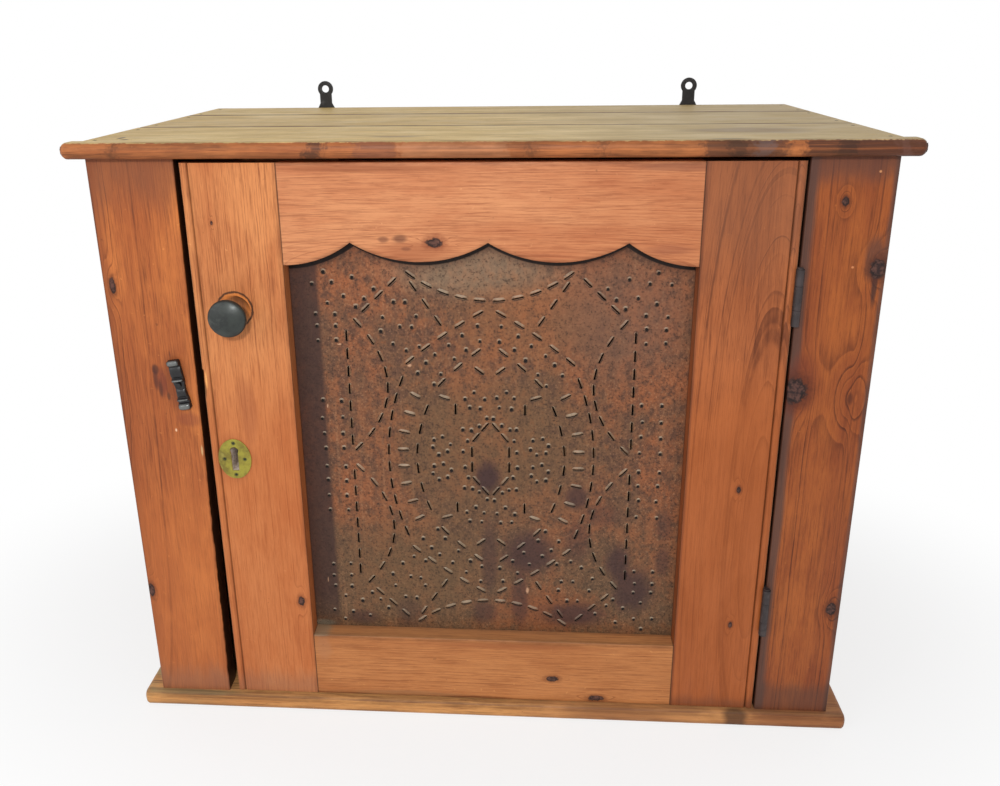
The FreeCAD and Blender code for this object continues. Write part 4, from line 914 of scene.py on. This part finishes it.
# Stains on the tin: across, level, half width, half height, strength.
OLIVE_STAINS = [(4, 350, 105, 85, 0.55), (-90, 190, 85, 62, 0.5)]
PURPLE_STAINS = [
    (3.5, 312, 13, 19, 0.95), (4, 205, 9, 46, 0.6), (40, 150, 10, 34, 0.65),
    (50, 212, 27, 28, 0.85), (104, 288, 12, 14, 0.8), (154, 204, 13, 22, 0.85),
    (172, 165, 22, 28, 0.85), (104, 130, 33, 15, 0.8), (106, 230, 14, 26, 0.5),
    (-3, 130, 13, 15, 0.65), (205, 206, 8, 18, 0.6), (204, 254, 9, 18, 0.5),
    (-150, 118, 18, 9, 0.6), (-93, 126, 15, 20, 0.4), (134, 266, 20, 13, 0.45),
]
PALE_FLECKS = [(-158, 472, 2, 0.8, 0.8), (-82, 448, 2, 1.8, 0.8), (49, 162, 1.6, 4, 0.8),
               (-176, 398, 0.8, 2, 0.8), (-190, 170, 0.8, 3, 0.8)]

# Runs of slots in the upper right quarter, in hundredths of half the opening:
# (start), (end), number of slots, bow to the left of the way.
SLOT_RUNS = [
    ((0, 81), (43, 96), 5, -0.09), ((54, 0), (44, 45), 5, -0.05),
    ((45, 48), (1, 77), 5, -0.03), ((74, 2), (71, 74), 9, 0.25),
    ((73, 5), (73, 68), 7, 0), ((45, 93), (66, 74), 3, 0),
    ((41, 92), (23, 67), 3, 0), ((39, 0), (31, 31), 3, -0.05),
    ((29, 36), (2, 59), 3, -0.03), ((10, 9), (0.5, 20), 2, 0),
]
SINGLE_SLOTS = [
    ((46.2, 4.5), 0), ((45.3, 14), 12), ((42.1, 23.9), 17), ((38.8, 33.3), 29),
    ((23.6, 32.4), 18), ((18, 26.6), 90), ((5.5, 46.4), 38), ((9.8, 4.1), 90),
]
QUARTERS = [(1, 1), (-1, 1), (-1, -1), (1, -1)]


def below_rail(g):
    """How far the tin lies below the top rail's scalloped edge."""
    share = (g.axis["X"] - opening_left) / LOBE - 0.5
    off = g.math("FRACT", share) - 0.5
    depth = (SCALLOP + END_DROP) - share.between(0, 2, 0.004) * END_DROP
    return (lobe_level + SCALLOP) - depth * (1 - off * off * 4) - g.axis["Z"]


def tin_material(name, light, mid, dark, worn=0):
    """Tinplate gone brown with rust, darker down the left and in wet spots, with painted shade
    under the top rail.
    """
    g = Material(name, light)
    x, z = g.axis["X"], g.axis["Z"]
    broad = g.noise((16, 16, 11), 3, 4, 0.6)
    cloud = g.noise((95, 95, 70), 5, 6, 0.72)
    grit = g.noise(400, 8, 4, 0.7)
    run = g.noise((150, 150, 5), 9)
    wobble = (cloud - 0.5) * 1.5

    def stain(rows, tint, soft=0.5):
        for *ellipse, strength in rows:
            mask, _ = g.spot(x, z, ellipse, wobble, soft)
            g.paint(mask, tint, strength)

    g.paint(broad.step(0.38, 0.62), mid)
    g.paint(cloud.step(0.44, 0.62), dark, 0.8)
    g.paint(cloud.step(0.46, 0.34), (152, 88, 52), 0.5)
    g.paint(z.step(340, 140), (98, 80, 56), 0.45)
    g.paint(run.step(0.55, 0.75), (164, 118, 84), 0.3)
    g.paint(grit.step(0.44, 0.32), (178, 132, 96), 0.45)
    stain([(-3, 556, 85, 27, 0.45)], (146, 128, 104))
    stain([(55, 500, 80, 45, 0.5)], (140, 92, 58))
    stain([(150, 505, 62, 60, 0.5)], (122, 86, 68), 0.6)
    stain(OLIVE_STAINS, (110, 83, 56), 0.6)
    stain([(75, 135, 60, 28, 0.5)], (140, 78, 44))
    left_edge = (x + wobble * 4).between(-250, -178, 3)
    g.paint(left_edge * z.step(90, 160, 0.25, 0.85), (62, 42, 38))
    stain(PURPLE_STAINS, (66, 45, 44))
    stain(PALE_FLECKS, (206, 160, 126))
    stain([(-199, 108, 13, 4, 0.45)], (128, 126, 108))
    g.paint(grit.step(0.52, 0.66), (54, 36, 28), 0.75)
    # worn lightens faces that look up, as wear and a painted highlight, and darkens faces that
    # look down, as painted shade.
    if worn:
        g.paint(g.upward(0.1, 0.7), (176, 160, 138), worn)
        g.paint(g.upward(-0.05, -0.5), (60, 42, 34))
    # Painted shadow of the top rail, partly grime: a soft shade below its scalloped edge and a
    # near-black band just under it, on the front only.
    below = below_rail(g) + wobble * 0.6
    g.paint(below.step(20, 7) * g.outside(), (58, 38, 30), 0.45)
    g.paint(below.step(9.3, 8.1) * g.outside(), (22, 13, 9), 0.95)
    return g.finish(cloud.step(0.3, 0.7, 0.42, 0.62), grit * 0.5 + cloud, 0.5, 0.5,
                    metallic=0.05, specular=0.25)


rusted_tin = tin_material("rusted_tin", (146, 88, 56), (112, 78, 56), (86, 60, 48))
burr_tin = tin_material("burr_tin", (146, 104, 76), (128, 100, 74), (108, 82, 64), worn=0.6)
# Black for the walls of slits and the caps of dots: painted shade.
painted_hole_shade = plain_material("painted_hole_shade", (12, 8, 7), (26, 18, 14), 0.9, 900)


def spread(shares):
    """Hundredths of half the opening as a place from its middle."""
    return Vector((shares[0] / 100 * HALF_WIDE, shares[1] / 100 * HALF_HIGH))


def on_tin(place, quarter):
    """A place in the upper right quarter, mirrored into a quarter of the tin's front."""
    return Vector((CENTRE_X + place[0] * quarter[0], tin_front,
                   CENTRE_Z + place[1] * quarter[1]))


def apart(point, others, gap):
    return all((point - other).length > gap for other in others)


def slot_places():
    """Every slot's centre and direction on the tin."""
    found = []

    def add(place, direction, quarter):
        centre = on_tin(place, quarter)
        heading = Vector((direction[0] * quarter[0], 0, direction[1] * quarter[1]))
        if apart(centre, [other for other, _ in found], 5):
            found.append((centre, heading.normalized()))

    for quarter in QUARTERS:
        for start, end, count, bow in SLOT_RUNS:
            chord = spread(end) - spread(start)
            lean = Vector((-chord.y, chord.x)) * bow
            for n in range(count):
                s = (n + 0.5) / count
                place = spread(start) + chord * s + lean * 4 * s * (1 - s)
                add(place, chord + lean * 4 * (1 - 2 * s), quarter)
        for shares, angle in SINGLE_SLOTS:
            turn = radians(angle)
            add(spread(shares), (cos(turn), sin(turn)), quarter)
    return found


def punched(name, mesh, dark_faces):
    """Trim on the tin; faces that look into a hole, and the caps in place of holes, are painted
    black as shade.
    """
    for face in dark_faces:
        face.material_index = 1
    bmesh.ops.recalc_face_normals(mesh, faces=mesh.faces)
    piece = finish_mesh(mesh, name, "door", burr_tin, sharp=60)
    piece.data.materials.append(painted_hole_shade)


BURR_REACH = 7.2
BURR_PROFILE = [(2.9, -0.05), (2.3, 0.4), (1.7, 1.1), (1.15, 1.35), (0.85, 1.1), (0.86, -0.3)]
DARK_FROM = 3           # a profile's faces from this one on look into the hole and are painted black as shade


def burr_row(lip, lean, lying, share):
    """A lip's section as (out from the cut, height); share is the place, -1 to 1."""
    rise = lip * (1 - share ** 4)
    slim = sqrt(max(1 - share ** 6, 0.02))
    for out, height in BURR_PROFILE:
        level = height * rise if height > 0 else height
        if out > 1:
            out = 0.8 + (out - 0.8) * (0.75 + 0.5 * lying)
        yield max(out * slim, 0.2) - lean * max(level, 0) / 1.5, level


def burrs():
    """The lips that the chisel raised along both sides of each slot.

    On a slot that lies flat the upper lip leans out over the cut.
    """
    mesh = bmesh.new()
    dark = []
    for centre, heading in slot_places():
        across = heading.cross(Vector((0, 1, 0)))
        if across.z < 0:
            across = -across
        lying = max(across.z - 0.25, 0)
        tall = chance.uniform(0.75, 1.1)
        for way in (-1, 1):
            lip = tall * chance.uniform(0.85, 1.15) * (1 if way > 0 else 1 - 0.6 * lying)
            lean = 1.1 * lying * chance.uniform(0.7, 1.1) if way > 0 else 0
            rows = []
            for share in (n / 4 for n in range(-4, 5)):
                along = centre + heading * (share * BURR_REACH)
                rows.append(vertices(mesh, [
                    along + across * (way * out) - Vector((0, level, 0))
                    for out, level in burr_row(lip, lean, lying, share)]))
            for first, second in zip(rows, rows[1:]):
                dark += strip(mesh, first, second, closed=False)[DARK_FROM:]
    punched("slot_burrs", mesh, dark)


# Dots of the same quarter; one of the quarters has no cluster.
DOTS = [
    *((a, b) for a in (78, 88) for b in (5, 13, 21, 30, 61, 68, 74)),
    (82, 80), (73, 83), (67, 78), (79, 90), (89, 89), (63, 82), (58, 87), (83, 95), (69, 92),
    (6, 69), (14, 64), (21, 59), (28, 54), (33, 50), (37, 45), (5, 61), (12, 57), (18, 52),
    (25, 45), (29, 39), (2, 22), (6, 18), (10, 16), (14, 16), (12, 10), (14, 4),
]
CLUSTER_DOTS = [(54, 73), (55, 66), (49, 60), (43, 56), (36, 58), (48, 80), (42, 80),
                (37, 73), (45, 68), (39, 68)]
ROSETTES = [((8, 31), 5), ((26, 7), 6)]
ROSETTE_RADIUS = 10.7


def dot_places():
    """Every round dot's centre on the tin."""
    found = []

    def add(centre):
        jitter = Vector((chance.uniform(-1, 1), 0, chance.uniform(-1, 1))) * 1.1
        if apart(centre, found, 4):
            found.append(centre + jitter)

    for quarter in QUARTERS:
        for shares in DOTS + (CLUSTER_DOTS if quarter != QUARTERS[0] else []):
            add(on_tin(spread(shares), quarter))
        for shares, count in ROSETTES:
            x, y, z = on_tin(spread(shares), quarter)
            angles = turns(count, tau / 4 / count)
            for a, b in around(x, z, ROSETTE_RADIUS, angles):
                add(Vector((a, y, b)))
    return found


DOT_PROFILE = [(3.2, -0.05), (2.6, 0.3), (2.05, 0.85), (1.75, 1), (1.6, 0.7), (1.5, 0.04)]


def dots():
    """Craters that a round punch raised from behind; none goes clean through, and the black cap at
    each centre is painted shade in place of a hole.
    """
    mesh = bmesh.new()
    dark = []
    for centre in dot_places():
        size = chance.uniform(0.85, 1.12)
        rings = []
        for radius, height in DOT_PROFILE:
            reaches = [radius * size * chance.uniform(0.94, 1.06) for _ in range(12)]
            rings.append(vertices(mesh, [
                centre + Vector((cos(turn) * reach, -height * size, sin(turn) * reach))
                for turn, reach in zip(turns(12), reaches)]))
        for number, (first, second) in enumerate(zip(rings, rings[1:])):
            faces = strip(mesh, first, second)
            dark += faces if number >= DARK_FROM else []
        dark.append(mesh.faces.new(rings[-1]))
    punched("punched_dots", mesh, dark)


burrs()
dots()


# ---- metals

def metal(name, base, speck, rough, metallic, seed, wear=None, grain=880, proud=None, spots=()):
    """Old metal: blotched, pitted, and rubbed brighter in places.

    proud is (level, level, colour): between those levels of Y the high places turn
    to that colour, as wear with a painted highlight.  spots are stained places (x, z, radius,
    colour).
    """
    g = Material(name, base)
    cloud = g.noise(60, seed, 4, 0.6)
    pits = g.noise(grain, seed + 3, 3, 0.6)
    g.paint(cloud.step(0.35, 0.65), speck)
    g.paint(pits.step(0.58, 0.72), speck, 0.6)
    if wear:
        g.paint(cloud.step(0.55, 0.72), wear, 0.5)
    for x, z, radius, tint in spots:
        mask, _ = g.spot(g.axis["X"], g.axis["Z"], (x, z, radius, radius), (pits - 0.5) * 1.2)
        g.paint(mask, tint, 0.8)
    if proud:
        low, high, tint = proud
        g.paint((g.axis["Y"] + pits - 0.5).step(low, high), tint)
    return g.finish(cloud.step(0.25, 0.75, rough - 0.08, rough + 0.12), pits * 0.5 + cloud,
                    0.4, 0.3, metallic)


PIN_OFFSETS = [(0, 19.5), (0, -19.5), (-11.5, 0), (11.5, 0)]
PIN_STAIN = (56, 60, 22)
# The turn button's high ridges turn grey: rubbed wear with a painted highlight.
RIDGE_WEAR_AND_HIGHLIGHT = (button_centre.y - 1.2, button_centre.y - 3.4, (104, 106, 104))
black_iron = metal("black_iron", (44, 42, 43), (22, 20, 20), 0.3, 0.35, 3, (92, 90, 92))
button_iron = metal("button_iron", (30, 28, 30), (18, 17, 18), 0.34, 0.1, 3.4, proud=RIDGE_WEAR_AND_HIGHLIGHT)
dark_steel = metal("dark_steel", (62, 52, 52), (40, 33, 33), 0.5, 0.2, 4, (92, 80, 78))
aged_brass = metal("aged_brass", (160, 150, 52), (112, 96, 34), 0.42, 0.25, 5, (186, 176, 84),
                   spots=[(plate_centre.x + across, plate_centre.z + up, 2.4, PIN_STAIN)
                          for across, up in PIN_OFFSETS])
pin_dark = metal("pin_dark", (40, 44, 20), (22, 24, 10), 0.5, 0.2, 6)
knob_iron = metal("knob_iron", (50, 55, 51), (32, 34, 33), 0.42, 0.2, 7, (84, 90, 84), 480)
nail_rust = metal("nail_rust", (52, 36, 26), (30, 20, 15), 0.6, 0.3, 8)

FINISH = {"rusted_tin": rusted_tin, "black_iron": black_iron, "dark_steel": dark_steel,
          "aged_brass": aged_brass, "knob_iron": knob_iron}
SPECIAL = {"escutcheon_pins": pin_dark, "tin_tacks": nail_rust,
           **{f"{where}_nails": nail_rust for where in ("top", "bottom", "back", "stop", "cleat")}}
SOFTENED = {"escutcheon": 0.5, "hinge_case_leaves": 0.35, "hinge_door_leaves": 0.35,
            "hanging_plates": 0.6, "lock_cover": 0.8, "lock_plate": 0.4, "lock_bolt": 0.6,
            "escutcheon_pins": 0.4, "turn_button_screw": 0.4, "hanging_plate_screws": 0.4,
            "hinge_pins": 0.3}


def soften(piece, width):
    """Rounded arrises on a CAD piece, by modifiers alone."""
    weld = piece.modifiers.new("weld", "WELD")
    weld.merge_threshold = 0.005 * MM
    bevel = piece.modifiers.new("soft_arris", "BEVEL")
    bevel.width = width * MM
    bevel.segments = 2
    bevel.limit_method = "ANGLE"
    bevel.angle_limit = radians(40)
    piece.modifiers.new("even_shading", "WEIGHTED_NORMAL")


for name, piece in frame["nodes"].items():
    piece.data.materials.clear()
    piece.data.materials.append(SPECIAL.get(name) or FINISH.get(slots[name], wood_shelf))
    if name in SOFTENED:
        soften(piece, SOFTENED[name])


# ---- knob and turn button

CAP = 12
RIM = 3
CAP_HALF = 4


def knob():
    """A turned mushroom knob with a gently domed face and a rounded rim."""
    low, high = box("knob")
    face, seat = low.y, high.y
    flat = (high.x - low.x) / 2 - RIM
    rim_back = face + CAP
    profile = [(0, seat), (7.5, seat), (7.2, seat - 6), (7.6, rim_back + 3),
               (10, rim_back + 0.8), (flat, rim_back)]
    for k in range(1, 8):
        turn = radians(-90 + 180 * k / 8)
        profile.append((flat + RIM * cos(turn),
                        rim_back - CAP_HALF - CAP_HALF * sin(turn)))
    for k in range(1, 7):
        share = 1 - k / 6
        profile.append((flat * share, face + CAP_HALF * share ** 2.2))
    mesh = bmesh.new()
    rings = []
    for reach, y in profile:
        ring = around(knob_centre.x, knob_centre.z, max(reach, 0.05), turns(48))
        rings.append(vertices(mesh, [(x, y, z) for x, z in ring]))
    skin(mesh, rings)
    finish_mesh(mesh, "turned_knob", "door", knob_iron, ["knob"])


BUTTON_TILT = radians(8.6)
BUTTON_LENGTH = 58
BUTTON_STEPS = 116
BUTTON_HALF = 6.75
BUTTON_THICK = 7.2
BUTTON_ROUND = 1.2
BUTTON_HOLE = 1.98
# The button's swellings, by height from its foot: (from, to, rise).
SWELLS = [(-1.5, 8, 3.8), (9.5, 13.2, 3), (32.4, 36.6, 3.4), (50.5, 59.5, 3.8),
          (37.5, 49.5, 1.4), (14.5, 24, 1.6)]
BUTTON_SECTION = [(-1, 0), (-1, 0.5), (-0.93, 0.78), (-0.72, 0.95), (-0.3, 1),
                  (0.3, 1), (0.72, 0.95), (0.93, 0.78), (1, 0.5), (1, 0)]


def hump(level, low, high, rise, power):
    share = (level - low) / (high - low)
    return rise * sin(pi * share) ** power if 0 < share < 1 else 0


def button_shape(level):
    """Half width and thickness of the turn button at a height from its foot."""
    end = min(level, BUTTON_LENGTH - level)
    half = BUTTON_HALF - hump(level, 13, 31, 1.3, 0.6) - max(BUTTON_ROUND - end, 0)
    thick = 3.4 + sum(hump(level, *swell, 0.7) for swell in SWELLS)
    return half, min(thick, BUTTON_THICK)


def turn_button():
    """A cast bar with a rolled head, a ridge, a carved waist and a beaded foot."""
    back = box("turn_button")[1].y
    turn = Matrix.Rotation(-BUTTON_TILT, 3, "Y")
    mesh = bmesh.new()
    rings = []
    for k in range(BUTTON_STEPS + 1):
        level = BUTTON_LENGTH * k / BUTTON_STEPS
        half, thick = button_shape(level)
        ring = []
        for across, out in BUTTON_SECTION:
            spot = turn @ Vector((across * half, 0, level - BUTTON_LENGTH / 2))
            ring.append((button_centre.x + spot.x, back - out * thick, button_centre.z + spot.z))
        rings.append(vertices(mesh, ring))
    skin(mesh, rings)
    piece = finish_mesh(mesh, "cast_turn_button", "turn_button", button_iron,
                        ["turn_button"], sharp=50)
    hole = around(button_centre.x, button_centre.z, BUTTON_HOLE, turns(20))
    cut(piece, button_iron, prism(hole, back - 12, back + 2))


knob()
turn_button()


# ---- stage, light, camera

SKY = 0.46
FLOOR_REACH = 6000
LIT = Vector((0, -200, 330))
CAMERA = (45.98, -1020.12, 794.17)


def stage_material():
    """Pale floor that keeps the shadow near the object and is plain white far off."""
    g = Material("floor_white", (0, 0, 0))
    grain = g.noise(40, 1)
    g.colour = grain * 0.03 + 0.9
    g.finish(0.9, grain, 0.02, 0.1)
    far = g.far(g.axis["X"] / 500, g.axis["Y"] / 300)
    share = g.on_show() * far.step(0.9, 1.9, 0.72, 1)
    blend = g.node("MixShader", {0: share, 1: g.lit, 2: g.node("Emission")})
    g.put(g.output.inputs["Surface"], blend)
    return g.owner


def stage():
    mesh = bmesh.new()
    mesh.faces.new(vertices(mesh, [(x * FLOOR_REACH, y * FLOOR_REACH, 0)
                                   for x, y in ((-1, -1), (1, -1), (1, 1), (-1, 1))]))
    floor = mesh_object("floor", mesh)
    floor.data.materials.append(stage_material())


def area_light(name, place, size, power):
    """A round lamp turned to the door."""
    data = bpy.data.lights.new(name, "AREA")
    data.shape = "DISK"
    data.size = size * MM
    data.energy = power
    lamp = new_object(name, data)
    lamp.location = Vector(place) * MM
    lamp.rotation_euler = (LIT - Vector(place)).to_track_quat("-Z", "Y").to_euler()


def world():
    """White where the camera sees it, and dimmer as a light."""
    bpy.context.scene.world = bpy.data.worlds.new("studio")
    g = Graph(bpy.context.scene.world)
    strength = g.on_show() * (1 - SKY) + SKY
    back = g.node("Background", {"Color": (255, 255, 255), "Strength": strength})
    g.node("OutputWorld", {"Surface": back})


def camera():
    """The viewpoint: in front, a little above the top, looking down."""
    turn, fall, roll = 0.0647, 0.2971, -0.0131
    data = bpy.data.cameras.new("camera")
    data.sensor_width = 36
    data.sensor_fit = "HORIZONTAL"
    data.lens = 30.05
    data.shift_x = 0.025
    data.shift_y = -0.103
    data.clip_end = 50
    made = new_object("camera", data)
    made.matrix_world = (
        Matrix.Translation(Vector(CAMERA) * MM) @ Matrix.Rotation(turn, 4, "Z")
        @ Matrix.Rotation(pi / 2 - fall, 4, "X") @ Matrix.Rotation(roll, 4, "Z"))
    bpy.context.scene.camera = made


stage()
world()
area_light("key", place=(-80, -1400, 1120), size=140, power=10)
area_light("fill", place=(-1700, -1500, 1200), size=1200, power=9)
camera()
bpy.context.scene.view_settings.view_transform = "Standard"
